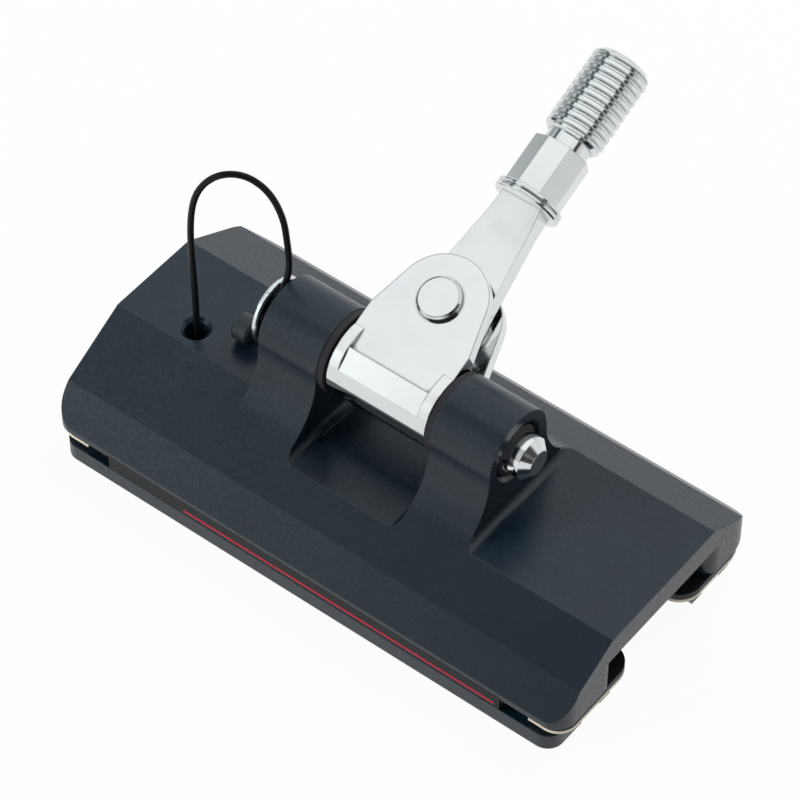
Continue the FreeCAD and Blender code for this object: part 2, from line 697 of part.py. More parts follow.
def upright_edge(shape, x, y):
    """Name of the upright edge at that place in the plan."""
    for index, edge in enumerate(shape.Edges, start=1):
        middle = edge.CenterOfMass
        upright = abs(edge.tangentAt(edge.FirstParameter).z) > 0.9
        if upright and math.hypot(middle.x - float(x), middle.y - float(y)) < 0.01:
            return f"Edge{index}"
    raise RuntimeError("no upright edge there")


def make_tapes(doc, s):
    """The tape in each side recess."""
    for name, side in (("near_side_strip", -1), ("far_side_strip", 1)):
        body = new_body(doc, name)
        section = new_sketch(body, "YZ_Plane", name + "_section")
        back = s.body_width / 2 - s.recess_depth
        rectangle(section, (back * side, s.lip_height + s.tape_margin),
                  ((back + s.tape_thickness) * side, s.lip_height + s.recess_height - s.tape_margin))
        pad(body, section, name + "_length", s.tape_length, symmetric=True)


def make_guide(doc, s, name, end, side):
    """An end guide: inset base, plate with the lower half of the ball turn, screw hole and wire hole."""
    body = new_body(doc, name)
    slot_start = s.body_length / 2 - s.slot_length
    inner_end = slot_start + s.seat_gap * 2
    outer_end = inner_end + s.guide_length
    bottom = s.lip_height + s.seat_gap
    step = bottom + s.guide_base_height
    top = s.slot_top - s.seat_gap
    turn_middle = (s.load_run + s.return_run) / 2
    turn_radius = (s.return_run - s.load_run) / 2
    track_radius = s.ball_radius + s.ball_clearance

    plate = new_sketch(body, "XY_Plane", name + "_plate_outline", step)
    polygon(plate, [
        (inner_end * end, s.guide_inner * side),
        (outer_end * end, s.guide_inner * side),
        (outer_end * end, s.guide_outer * side),
        ((inner_end + s.guide_shoulder) * end, s.guide_outer * side),
        ((inner_end + s.guide_shoulder) * end, (s.guide_outer - s.guide_window) * side),
        (inner_end * end, (s.guide_outer - s.guide_window) * side),
    ])
    raised = pad(body, plate, name + "_plate", top - step)
    doc.recompute()
    inner_corner = upright_edge(raised.Shape, outer_end * end, s.guide_inner * side)
    inner_round = body.newObject("PartDesign::Fillet", name + "_channel_corner")
    inner_round.Base = (raised, [inner_corner])
    bind(inner_round, "Radius", s.guide_corner)
    body.Tip = inner_round
    doc.recompute()
    outer_corner = upright_edge(inner_round.Shape, outer_end * end, s.guide_outer * side)
    outer_round = body.newObject("PartDesign::Fillet", name + "_outer_corner")
    outer_round.Base = (inner_round, [outer_corner])
    body_corner = s.far_corner_radius if side > 0 else s.near_corner_radius
    bind(outer_round, "Radius", body_corner - (s.body_length / 2 - outer_end))
    body.Tip = outer_round

    base = new_sketch(body, "XY_Plane", name + "_base_outline", bottom)
    rectangle(base, (inner_end * end, (s.lip_gap / 2 + s.guide_inset) * side),
              ((outer_end - s.guide_inset) * end, (s.guide_outer - s.guide_window) * side))
    pad(body, base, name + "_base", step - bottom)

    runs = new_sketch(body, "YZ_Plane", name + "_runs", (s.turn_centre + inner_end) / 2 * end)
    circle(runs, (s.load_run * side, s.ball_height), track_radius)
    circle(runs, (s.return_run * side, s.ball_height), track_radius)
    pocket(body, runs, name + "_run_cuts", s.turn_centre - inner_end + 0.001, symmetric=True)
    turn = new_sketch(body, "XZ_Plane", name + "_turn", -(turn_middle * side))
    spin = line(turn, (s.turn_centre * end, 0), (s.turn_centre * end, s.ball_height), True)
    fix(turn, spin, 1, (s.turn_centre * end, 0))
    fix(turn, spin, 2, (s.turn_centre * end, s.ball_height))
    circle(turn, ((s.turn_centre + turn_radius) * end, s.ball_height), track_radius)
    half_turn_groove(body, turn, name + "_turn_cut")

    holes = new_sketch(body, "XY_Plane", name + "_holes", top)
    circle(holes, (s.turn_centre * end, turn_middle * side), s.screw_radius + s.screw_clearance)
    pocket(body, holes, name + "_screw_hole", top)
    wire_hole = new_sketch(body, "XY_Plane", name + "_wire_place", top)
    circle(wire_hole, (s.wire_reach * end, s.wire_offset * side), s.wire_radius + s.seat_gap)
    pocket(body, wire_hole, name + "_wire_hole", s.wire_depth)


def make_guides(doc, s):
    for end, end_name in ((1, "right"), (-1, "left")):
        for side, side_name in ((-1, "near"), (1, "far")):
            make_guide(doc, s, f"ball_guide_{side_name}_{end_name}", end, side)


def add_shape(doc, name, shape):
    piece = doc.addObject("Part::Feature", name)
    piece.Label = name
    piece.Shape = shape
    return piece


def make_screws(doc, s):
    """Four countersunk screws with hexagon sockets, from below."""
    head, radius = float(s.screw_head_radius), float(s.screw_radius)
    tip = float(s.slot_top + s.screw_depth)
    turn_middle = float((s.load_run + s.return_run) / 2)
    profile = Part.makePolygon([
        Vector(0, 0, 0), Vector(head, 0, 0), Vector(radius, 0, head - radius),
        Vector(radius, 0, tip - radius / 3), Vector(radius * 2 / 3, 0, tip), Vector(0, 0, tip), Vector(0, 0, 0)])
    screw = Part.Face(profile).revolve(Vector(0, 0, 0), Vector(0, 0, 1), 360)
    socket = Part.Face(regular_outline(6, float(s.socket_radius), 0.0))
    screw = screw.cut(socket.extrude(Vector(0, 0, float(s.socket_depth))))
    screws = []
    for end in (1, -1):
        for side in (1, -1):
            copy = screw.copy()
            copy.translate(Vector(float(s.turn_centre) * end, turn_middle * side, 0))
            screws.append(copy)
    add_shape(doc, "guide_screws", Part.makeCompound(screws))


def regular_outline(sides, radius, turn):
    """A regular outline in the XY plane with a corner at the angle turn, in degrees."""
    corners = []
    for index in range(sides + 1):
        angle = math.radians(turn + 360.0 * index / sides)
        corners.append(Vector(radius * math.cos(angle), radius * math.sin(angle), 0))
    return Part.makePolygon(corners)


def banded_ball(radius, bands=6):
    """A ball turned from straight bands, whose corners lie on the true sphere."""
    corners = []
    for step in range(bands + 1):
        angle = math.pi * step / bands
        corners.append(Vector(radius * math.sin(angle), 0, radius * math.cos(angle)))
    outline = Part.makePolygon(corners + corners[:1])
    return Part.Face(outline).revolve(Vector(0, 0, 0), Vector(0, 0, 1), 360)


def circuit_place(s, distance):
    """A ball's place after that distance along the circuit, as (x, y) with y counted outward."""
    turn_radius = float(s.return_run - s.load_run) / 2
    straight = 2 * float(s.turn_centre)
    bend = math.pi * turn_radius
    middle = float(s.load_run + s.return_run) / 2
    if distance < straight:
        return distance - straight / 2, float(s.load_run)
    distance -= straight
    if distance < bend:
        angle = distance / turn_radius
        return straight / 2 + turn_radius * math.sin(angle), middle - turn_radius * math.cos(angle)
    distance -= bend
    if distance < straight:
        return straight / 2 - distance, float(s.return_run)
    angle = (distance - straight) / turn_radius
    return -straight / 2 - turn_radius * math.sin(angle), middle + turn_radius * math.cos(angle)


def make_balls(doc, s):
    """The ball train of each circuit, evenly spaced."""
    turn_radius = float(s.return_run - s.load_run) / 2
    circuit = 4 * float(s.turn_centre) + 2 * math.pi * turn_radius
    count = int(circuit // float(s.ball_radius * 2 + s.ball_spacing))
    print(f"ball circuit {circuit:.1f} mm, gap between balls {circuit / count - 2 * float(s.ball_radius):.3f} mm")
    ball = banded_ball(float(s.ball_radius))
    for name, side in (("near_balls", -1), ("far_balls", 1)):
        train = []
        for index in range(count):
            x, y = circuit_place(s, circuit * index / count)
            copy = ball.copy()
            copy.translate(Vector(x, y * side, float(s.ball_height)))
            train.append(copy)
        add_shape(doc, name, Part.makeCompound(train))


def make_wires(doc, s):
    """The wires that keep the balls in, with their ends bent down into the end guides."""
    top, bend = float(s.wire_height), float(s.wire_bend)
    low = float(s.slot_top - s.seat_gap - s.wire_depth)
    reach, middle = float(s.wire_reach), 1 - math.sqrt(0.5)
    for name, side in (("near_ball_wire", -1), ("far_ball_wire", 1)):
        y = float(s.wire_offset) * side
        edges = [
            Part.LineSegment(Vector(-reach, y, low), Vector(-reach, y, top - bend)),
            Part.Arc(Vector(-reach, y, top - bend), Vector(-reach + middle * bend, y, top - middle * bend),
                     Vector(-reach + bend, y, top)),
            Part.LineSegment(Vector(-reach + bend, y, top), Vector(reach - bend, y, top)),
            Part.Arc(Vector(reach - bend, y, top), Vector(reach - middle * bend, y, top - middle * bend),
                     Vector(reach, y, top - bend)),
            Part.LineSegment(Vector(reach, y, top - bend), Vector(reach, y, low)),
        ]
        path = Part.Wire([edge.toShape() for edge in edges])
        section = Part.Wire(Part.makeCircle(float(s.wire_radius), Vector(-reach, y, low), Vector(0, 0, 1)))
        add_shape(doc, name, path.makePipeShell([section], True, True))


def make_bushes(doc, s):
    """The flanged bushes: each sleeve fills its ear and the flange lies against the ear's inner face."""
    inner = s.pin_radius + s.running_gap
    outer = inner + s.bush_wall
    for name, end in (("left_bush", -1), ("right_bush", 1)):
        inside = (s.ear_gap / 2 - s.bush_flange_thickness) * end
        ear_face = s.ear_gap / 2 * end
        outside = (s.ear_reach - s.bush_recess) * end
        body = turned(doc, name, [
            (inside, inner), (inside, s.bush_flange_radius), (ear_face, s.bush_flange_radius),
            (ear_face, outer), (outside, outer), (outside, inner)])
        set_place(body, z=s.pin_height)


def head_face(s):
    """Place of the pin head's outer face, counted from the middle plane."""
    return s.ear_reach + s.neck_length + s.head_thickness


def lock_ball_rest(s):
    """Distance of a lock ball's centre from the pin's axis when it locks."""
    return s.spindle_radius + s.lock_ball_radius + s.lock_gap


def make_pin(doc, s):
    """The pin: hollow shank, head, button with spindle, spring and two lock balls."""
    outside = -head_face(s)
    head_inside = -(s.ear_reach + s.neck_length)
    cavity = s.button_radius + s.running_gap
    channel = s.spindle_radius + s.running_gap
    cavity_floor = outside + s.cavity_depth
    shank = turned(doc, "pin_shank", [
        (outside, cavity),
        (outside, s.spigot_radius),
        (head_inside, s.spigot_radius),
        (head_inside, s.pin_radius),
        (s.pin_tip - s.tip_chamfer, s.pin_radius),
        (s.pin_tip, s.pin_radius - s.tip_chamfer),
        (s.pin_tip, 0),
        (s.pin_tip - s.tip_wall, 0),
        (s.pin_tip - s.tip_wall, channel),
        (cavity_floor, channel),
        (cavity_floor, cavity),
    ])
    cross = new_sketch(shank, "XZ_Plane", "lock_ball_place")
    circle(cross, (s.lock_ball_place, 0), s.lock_ball_radius + s.running_gap)
    pocket(shank, cross, "lock_ball_hole", s.pin_radius * 2 + 1, symmetric=True)
    set_place(shank, z=s.pin_height)

    head = turned(doc, "pin_head", [
        (outside, s.spigot_radius + s.press_gap),
        (outside, s.head_radius - s.head_edge),
        (outside + s.head_edge, s.head_radius),
        (head_inside - s.head_edge, s.head_radius),
        (head_inside, s.head_radius - s.head_edge),
        (head_inside, s.spigot_radius + s.press_gap),
    ])
    set_place(head, z=s.pin_height)

    button_end = outside - s.button_rise
    shoulder = button_end + s.button_length
    cone_start = s.lock_ball_place - s.lock_cone_length
    groove_start = cone_start - s.spindle_radius / 2
    spindle_end = s.pin_tip - s.tip_wall - s.button_travel - s.end_play
    button = turned(doc, "release_button", [
        (button_end, 0),
        (button_end, s.button_radius - s.button_edge),
        (button_end + s.button_edge, s.button_radius),
        (shoulder, s.button_radius),
        (shoulder, s.spindle_radius),
        (groove_start - s.lock_groove_step, s.spindle_radius),
        (groove_start, s.lock_groove_radius),
        (cone_start, s.lock_groove_radius),
        (s.lock_ball_place, s.spindle_radius),
        (spindle_end, s.spindle_radius),
        (spindle_end, 0),
    ])
    set_place(button, z=s.pin_height)

    make_spring(doc, s, float(shoulder), float(cavity_floor))
    for name, side in (("lock_ball_near", -1), ("lock_ball_far", 1)):
        ball = doc.addObject("Part::Sphere", name)
        ball.Label = name
        bind(ball, "Radius", s.lock_ball_radius)
        set_place(ball, x=s.lock_ball_place, y=lock_ball_rest(s) * side, z=s.pin_height)


def make_spring(doc, s, start, end):
    """The button's spring round the spindle, of square wire, between the button and the cavity's floor."""
    wire = float(s.spring_wire)
    mean = (float(s.spindle_radius) + float(s.button_radius)) / 2
    gap = float(s.spring_gap)
    height = end - start - wire - gap * 2
    helix = Part.makeHelix(float(s.spring_pitch), height, mean)
    half = wire / 2
    section = Part.makePolygon([
        Vector(mean - half, 0, -half), Vector(mean + half, 0, -half), Vector(mean + half, 0, half),
        Vector(mean - half, 0, half), Vector(mean - half, 0, -half)])
    spring = Part.Wire(helix.Edges).makePipeShell([section], True, True)
    piece = add_shape(doc, "release_spring", spring)
    piece.Placement = FreeCAD.Placement(
        Vector(start + half + gap, 0, float(s.pin_height)), FreeCAD.Rotation(Vector(0, 1, 0), 90))


def lean(piece, s, rise=0.0):
    """Leans a piece about the pin's axis to the rest pose, rise above that axis along the toggle."""
    piece.Placement = FreeCAD.Placement(Vector(0, 0, 0), FreeCAD.Rotation(Vector(-1, 0, 0), 70))
    piece.setExpression("Placement.Rotation.Angle", s.rest_lean_angle.text)
    up = s.pin_height
    across = Size(0.0, "0")
    if isinstance(rise, Size):
        up = s.pin_height + rise * cosine(s.rest_lean_angle)
        across = rise * sine(s.rest_lean_angle)
    set_place(piece, y=across, z=up)


def make_toggle(doc, s):
    """The toggle, drawn upright about the pin's axis: barrel, cheeks, slot, milled flats and holes."""
    body = new_body(doc, "toggle")
    half_cheek = s.cheek_width / 2
    half_barrel = s.barrel_length / 2
    barrel = new_sketch(body, "YZ_Plane", "barrel_circle")
    circle(barrel, (0, 0), s.barrel_radius)
    pad(body, barrel, "barrel", s.barrel_length, symmetric=True)

    cheeks = new_sketch(body, "XZ_Plane", "cheek_outline")
    base = open_chain(cheeks, [
        (half_barrel, s.cheek_shoulder), (half_barrel, 0), (-half_barrel, 0), (-half_barrel, s.cheek_shoulder)],
        [True] * 4)
    drop = float(s.rivet_rise - s.cheek_shoulder)
    spoke = math.hypot(float(half_barrel), drop)
    lift = math.acos(float(s.cheek_radius) / spoke) - math.atan2(drop, float(half_barrel))
    touch = (float(s.cheek_radius) * math.cos(lift), float(s.rivet_rise) + float(s.cheek_radius) * math.sin(lift))
    crown = cheeks.addGeometry(Part.ArcOfCircle(
        Part.Circle(Vector(0, float(s.rivet_rise), 0), Vector(0, 0, 1), float(s.cheek_radius)),
        lift, math.pi - lift), False)
    fix(cheeks, crown, 3, (0, s.rivet_rise))
    fix_radius(cheeks, crown, s.cheek_radius)
    for side, crown_end, edge, end in ((1, 1, base[0], 1), (-1, 2, base[-1], 2)):
        flank = line(cheeks, (half_barrel * side, s.cheek_shoulder), (touch[0] * side, touch[1]))
        join(cheeks, "Coincident", edge, end, flank, 1)
        join(cheeks, "Tangent", flank, 2, crown, crown_end)
    pad(body, cheeks, "cheeks", s.cheek_width, symmetric=True)

    drop_facet = root(s.barrel_radius * s.barrel_radius - s.facet_depth * s.facet_depth)
    drop_flat = root(s.barrel_radius * s.barrel_radius - s.flat_depth * s.flat_depth)
    flats = new_sketch(body, "YZ_Plane", "barrel_flats")
    for side in (1, -1):
        polygon(flats, [
            (half_cheek * side, s.barrel_radius),
            (half_cheek * side, -s.flat_depth),
            (drop_flat * side, -s.flat_depth),
            (drop_facet * side, -s.facet_depth),
            ((drop_facet + MARGIN) * side, -(s.facet_depth + MARGIN)),
            ((s.barrel_radius + MARGIN) * side, -(s.facet_depth + MARGIN)),
            ((s.barrel_radius + MARGIN) * side, s.barrel_radius),
        ])
    pocket(body, flats, "barrel_flat_cuts", s.barrel_length - s.collar_length * 2, symmetric=True)

    slot = new_sketch(body, "YZ_Plane", "cheek_slot_profile")
    rectangle(slot, (-(s.cheek_slot / 2), s.slot_floor),
              (s.cheek_slot / 2, s.rivet_rise + s.cheek_radius + MARGIN))
    pocket(body, slot, "cheek_slot_cut", s.barrel_length + MARGIN, symmetric=True)
    rivet = new_sketch(body, "XZ_Plane", "rivet_hole")
    circle(rivet, (0, s.rivet_rise), s.rivet_radius + s.rivet_gap)
    pocket(body, rivet, "rivet_hole_cut", s.cheek_width + MARGIN, symmetric=True)
    bore = new_sketch(body, "YZ_Plane", "barrel_bore")
    circle(bore, (0, 0), s.pin_radius + s.barrel_gap)
    pocket(body, bore, "barrel_bore_cut", s.barrel_length + MARGIN, symmetric=True)
    lean(body, s)


def make_rivet(doc, s):
    """The rivet through the cheeks, and the washers beside the blade."""
    half = s.cheek_width / 2
    face = half + s.rivet_head_height
    edge = s.rivet_head_edge
    rivet = turned(doc, "toggle_rivet", [
        (-face, 0),
        (-face, s.rivet_head_radius - edge),
        (-(face - edge), s.rivet_head_radius),
        (-half, s.rivet_head_radius),
        (-half, s.rivet_radius),
        (half, s.rivet_radius),
        (half, s.rivet_head_radius),
        (face - edge, s.rivet_head_radius),
        (face, s.rivet_head_radius - edge),
        (face, 0),
    ], role="YZ_Plane")
    lean(rivet, s, s.rivet_rise)

    washers = new_body(doc, "blade_washers")
    washers.AllowCompound = True
    section = new_sketch(washers, "YZ_Plane", "washer_section")
    inside = s.blade_thickness / 2 + s.washer_gap
    outside = s.cheek_slot / 2 - s.washer_gap
    for side in (1, -1):
        rectangle(section, (inside * side, s.rivet_radius + s.rivet_gap), (outside * side, s.washer_radius))
    revolution(washers, section, "washers_turned", "H_Axis")
    lean(washers, s, s.rivet_rise)


def make_stud(doc, s):
    """The stud, drawn upright about the rivet's axis: blade with eye, flange, wrench flats, neck and thread."""
    body = new_body(doc, "stud")
    flange_low = s.stud_flange_place
    flange_top = flange_low + s.stud_flange_thickness
    wrench_top = flange_top + s.wrench_length
    thread_low = wrench_top + s.neck_reach
    thread_top = thread_low + s.thread_length
    half_end = s.blade_end_width / 2

    blade = new_sketch(body, "XZ_Plane", "blade_outline")
    drop, radius = float(flange_low), float(s.blade_eye_radius)
    spoke = math.hypot(float(half_end), drop)
    lift = math.atan2(drop, float(half_end)) - math.acos(radius / spoke)
    touch = (radius * math.cos(lift), radius * math.sin(lift))
    top = line(blade, (-half_end, flange_low), (half_end, flange_low))
    fix(blade, top, 1, (-half_end, flange_low))
    fix(blade, top, 2, (half_end, flange_low))
    eye = blade.addGeometry(Part.ArcOfCircle(
        Part.Circle(Vector(0, 0, 0), Vector(0, 0, 1), radius), math.pi - lift, 2 * math.pi + lift), False)
    fix(blade, eye, 3, (0, 0))
    fix_radius(blade, eye, s.blade_eye_radius)
    for side, eye_end, top_end in ((-1, 1, 1), (1, 2, 2)):
        flank = line(blade, (half_end * side, flange_low), (touch[0] * side, touch[1]))
        join(blade, "Coincident", top, top_end, flank, 1)
        join(blade, "Tangent", flank, 2, eye, eye_end)
    pad(body, blade, "blade", s.blade_end_thickness, symmetric=True)
    faces = new_sketch(body, "YZ_Plane", "blade_faces")
    for side in (1, -1):
        polygon(faces, [
            (s.blade_thickness / 2 * side, -(s.blade_eye_radius + MARGIN)),
            (s.blade_thickness / 2 * side, s.blade_ramp),
            (s.blade_end_thickness / 2 * side, flange_low),
            ((s.blade_end_thickness / 2 + MARGIN) * side, flange_low),
            ((s.blade_end_thickness / 2 + MARGIN) * side, -(s.blade_eye_radius + MARGIN)),
        ])
    pocket(body, faces, "blade_face_cuts", (s.blade_eye_radius + MARGIN) * 2, symmetric=True)

    wrench = new_sketch(body, "XY_Plane", "wrench_outline", flange_top - s.wrench_root)
    sides = int(s.wrench_sides.number)
    corner_radius = s.wrench_width / 2 / cosine(Size(180.0 / sides, repr(180.0 / sides)))
    outline = []
    for index in range(sides):
        angle = s.wrench_turn + 360.0 * (index + 0.5) / sides
        outline.append((corner_radius * cosine(angle), corner_radius * sine(angle)))
    polygon(wrench, outline)
    pad(body, wrench, "wrench_section", s.wrench_length + s.wrench_root)

    shaft = new_sketch(body, "YZ_Plane", "shaft_profile")
    middle = (flange_low + flange_top) / 2
    rim = s.stud_flange_radius
    polygon(shaft, [
        (0, flange_low),
        (rim - s.rim_groove, flange_low),
        (rim, flange_low + s.rim_groove),
        (rim, middle - s.rim_groove),
        (rim - s.rim_groove, middle),
        (rim, middle + s.rim_groove),
        (rim, flange_top - s.rim_groove),
        (rim - s.rim_groove, flange_top),
        (s.neck_radius, flange_top),
        (s.neck_radius, thread_low),
        (s.thread_radius - s.thread_chamfer, thread_low),
        (s.thread_radius, thread_low + s.thread_chamfer),
        (s.thread_radius, thread_top - s.thread_chamfer),
        (s.thread_radius - s.thread_chamfer, thread_top),
        (0, thread_top),
    ])
    revolution(body, shaft, "shaft", "V_Axis")
    hole = new_sketch(body, "XZ_Plane", "eye_hole")
    circle(hole, (0, 0), s.rivet_radius + s.rivet_gap)
    pocket(body, hole, "eye_hole_cut", s.blade_end_thickness + MARGIN, symmetric=True)
    lean(body, s, s.rivet_rise)


def tube_along(route, radius):
    """A round tube along straight runs joined by tangent arcs. Prints its bends and its volume's error."""
    points = [Vector(*place) for place in route]
    start = points[0]
    edges, radii = [], []
    for before, here, after in zip(points, points[1:], points[2:]):
        back, ahead = (before - here).normalize(), (after - here).normalize()
        half_turn = (math.pi - back.getAngle(ahead)) / 2
        setback = ARC_SHARE * min(before.distanceToPoint(here), here.distanceToPoint(after))
        bend = setback / math.tan(half_turn)
        radii.append(bend)
        entry, leave = here + back * setback, here + ahead * setback
        inward = (back + ahead).normalize()
        centre = here + inward * (bend / math.cos(half_turn))
        edges.append(Part.LineSegment(start, entry).toShape())
        edges.append(Part.Arc(entry, centre - inward * bend, leave).toShape())
        start = leave
    edges.append(Part.LineSegment(start, points[-1]).toShape())
    path = Part.Wire(edges)
    section = Part.Wire(Part.makeCircle(radius, points[0], points[1] - points[0]))
    tube = path.makePipeShell([section], True, True)
    expected = math.pi * radius * radius * path.Length
    print("bend radii", " ".join(f"{bend:.1f}" for bend in radii))
    print(f"lanyard length {path.Length:.1f} mm, volume ratio {tube.Volume / expected:.4f}")
    return tube


def make_lanyard(doc, s):
    """The lanyard with the crimp that stops it below its hole and the ferrule at its other end."""
    add_shape(doc, "lanyard_cord", tube_along(LANYARD_ROUTE, float(s.cord_radius)))
    stop_top = s.channel_ceiling + s.stop_depth
    stop = new_body(doc, "lanyard_stop")
    outline = new_sketch(stop, "XY_Plane", "stop_circle", stop_top - s.stop_height)
    circle(outline, (0, 0), s.stop_radius)
    pad(stop, outline, "stop_height_pad", s.stop_height)
    set_place(stop, x=-s.hole_place, y=-s.hole_offset)
    end = Vector(*LANYARD_ROUTE[-1])
    edge = s.ferrule_radius - s.ferrule_chamfer
    ferrule = turned(doc, "lanyard_ferrule", [
        (0, 0), (0, edge), (-s.ferrule_chamfer, s.ferrule_radius),
        (-(s.ferrule_length - s.ferrule_chamfer), s.ferrule_radius), (-s.ferrule_length, edge),
        (-s.ferrule_length, 0)])
    ferrule.Placement = FreeCAD.Placement(end, FreeCAD.Rotation())


NODES = (
    "car_body", "near_side_strip", "far_side_strip",
    "ball_guide_near_right", "ball_guide_far_right", "ball_guide_near_left", "ball_guide_far_left",
    "guide_screws", "near_balls", "far_balls", "near_ball_wire", "far_ball_wire",
    "left_bush", "right_bush", "pin_shank", "pin_head", "release_button", "release_spring",
    "lock_ball_near", "lock_ball_far", "toggle", "toggle_rivet", "blade_washers", "stud",
    "lanyard_cord", "lanyard_stop", "lanyard_ferrule",
)


def check(doc):
    """Stops the build where an object failed or a piece has no sound shape."""
    for item in doc.Objects:
        if "Invalid" in item.State or "Error" in item.State:
            raise RuntimeError(f"{item.Label} failed: {item.State}")
    for name in NODES:
        shape = doc.getObjectsByLabel(name)[0].Shape
        if shape.isNull() or not shape.isValid() or not shape.Solids:
            raise RuntimeError(f"{name} has no sound shape")


def main():
    doc = FreeCAD.newDocument("batten_car")
    s = Sizes(doc)
    make_car_body(doc, s)
    make_tapes(doc, s)
    make_guides(doc, s)
    make_screws(doc, s)
    make_balls(doc, s)
    make_wires(doc, s)
    make_bushes(doc, s)
    make_pin(doc, s)
    make_toggle(doc, s)
    make_rivet(doc, s)
    make_stud(doc, s)
    make_lanyard(doc, s)
    doc.recompute()
    check(doc)
    os.makedirs("parts", exist_ok=True)
    for name in NODES:
        shape = doc.getObjectsByLabel(name)[0].Shape
        shape.exportStep(f"parts/{name}.step")
        box = shape.BoundBox
        print(f"{name}: {len(shape.Solids)} solids, {shape.Volume:.1f} mm3, "
              f"x {box.XMin:.2f}..{box.XMax:.2f} y {box.YMin:.2f}..{box.YMax:.2f} z {box.ZMin:.2f}..{box.ZMax:.2f}")


main()
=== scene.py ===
import logging
import math
from collections.abc import Iterable, Sequence
from dataclasses import dataclass
from enum import Enum

import bmesh
import bpy
from mathutils import Matrix, Vector


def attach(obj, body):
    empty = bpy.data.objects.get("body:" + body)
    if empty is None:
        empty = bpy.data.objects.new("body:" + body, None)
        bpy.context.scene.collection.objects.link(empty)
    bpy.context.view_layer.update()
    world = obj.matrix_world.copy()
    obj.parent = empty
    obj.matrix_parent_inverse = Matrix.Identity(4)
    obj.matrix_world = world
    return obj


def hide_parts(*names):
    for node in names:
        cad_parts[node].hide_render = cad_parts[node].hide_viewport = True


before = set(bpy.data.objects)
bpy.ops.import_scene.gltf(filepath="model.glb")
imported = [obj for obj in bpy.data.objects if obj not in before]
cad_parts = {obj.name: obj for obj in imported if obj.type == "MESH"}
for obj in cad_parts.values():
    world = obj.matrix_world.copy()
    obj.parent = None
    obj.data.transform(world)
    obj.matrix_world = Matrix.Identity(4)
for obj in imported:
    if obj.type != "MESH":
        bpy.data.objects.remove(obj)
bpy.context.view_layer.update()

Colour = tuple[float, float, float]
Place = tuple[float, float, float]
Range = tuple[float, float]
Node = bpy.types.Node
Socket = bpy.types.NodeSocket
Sockets = bpy.types.bpy_prop_collection
Solid = bmesh.types.BMesh

MM = 0.001
WHITE: Colour = (1.0, 1.0, 1.0)
log = logging.getLogger("batten_car")


class Body(Enum):
    """The CAD bodies that the pieces made here ride on."""

    CAR = "car"
    STUD = "stud"


class Slot(Enum):
    """The record's material slots that the pieces made here take."""

    STAINLESS = "stainless"
    BALLS = "ball_plastic"
    CABLE = "black_cable"


class Axis(Enum):
    """The axes, each by its name on a node."""

    X = "X"
    Y = "Y"
    Z = "Z"


class Side(Enum):
    """The car's near and far side, each by the sign of its Y."""

    NEAR = -1
    FAR = 1


class Join(Enum):
    """The ways to combine two solids."""

    UNION = "UNION"
    DIFFERENCE = "DIFFERENCE"
    INTERSECT = "INTERSECT"


@dataclass
class Graph:
    """A node tree with short calls for adding and joining its nodes."""

    tree: bpy.types.NodeTree

    def add(self, kind: str, inputs: dict | None = None, **settings: object) -> Node:
        """Adds a node.

        Args:
            kind: The node's type name.
            inputs: Socket names or numbers, with a value or an output socket for each.
            settings: Properties of the node.

        Returns:
            The new node.
        """
        node = self.tree.nodes.new(kind)
        for name, value in settings.items():
            setattr(node, name, value)
        for key, value in (inputs or {}).items():
            self.feed(node.inputs[key], value)
        return node

    def feed(self, socket: Socket, value: object) -> None:
        """Links or sets one input.

        Args:
            socket: The input.
            value: An output socket, or a plain value.
        """
        if isinstance(value, Socket):
            self.tree.links.new(value, socket)
        elif socket.type == "RGBA":
            socket.default_value = (*value, 1.0)
        else:
            socket.default_value = value

    def maths(self, operation: str, *values: object, clamp: bool = False) -> Socket:
        """Gives the result of a Math node over numbers or sockets, held between 0 and 1 if clamp is set."""
        inputs = dict(enumerate(values))
        return self.add("ShaderNodeMath", inputs, operation=operation, use_clamp=clamp).outputs[0]

    def product(self, first: object, *others: object) -> Socket:
        """Multiplies values.

        Args:
            first: A number or socket.
            others: What it is multiplied by.

        Returns:
            The product.
        """
        for other in others:
            first = self.maths("MULTIPLY", first, other)
        return first

    def mix(self, factor: object, first: object, second: object) -> Socket:
        """Gives a mix of two colours, with the factor as the second one's share."""
        inputs = {0: factor, 6: first, 7: second}
        return self.add("ShaderNodeMix", inputs, data_type="RGBA", clamp_factor=True).outputs[2]

    def span(self, value: object, low: float, high: float, to_low: float = 0.0, to_high: float = 1.0) -> Socket:
        """Maps a value smoothly, from to_low at low to to_high at high, and holds it beyond them."""
        inputs = {0: value, 1: low, 2: high, 3: to_low, 4: to_high}
        return self.add("ShaderNodeMapRange", inputs, interpolation_type="SMOOTHSTEP").outputs[0]

    def bump(self, height: object, depth: float, normal: object) -> Socket:
        """Lays relief over a normal and gives the new one, with the depth in metres of a height of 1."""
        inputs = {"Strength": 1.0, "Distance": depth, "Height": height, "Normal": normal}
        return self.add("ShaderNodeBump", inputs).outputs[0]


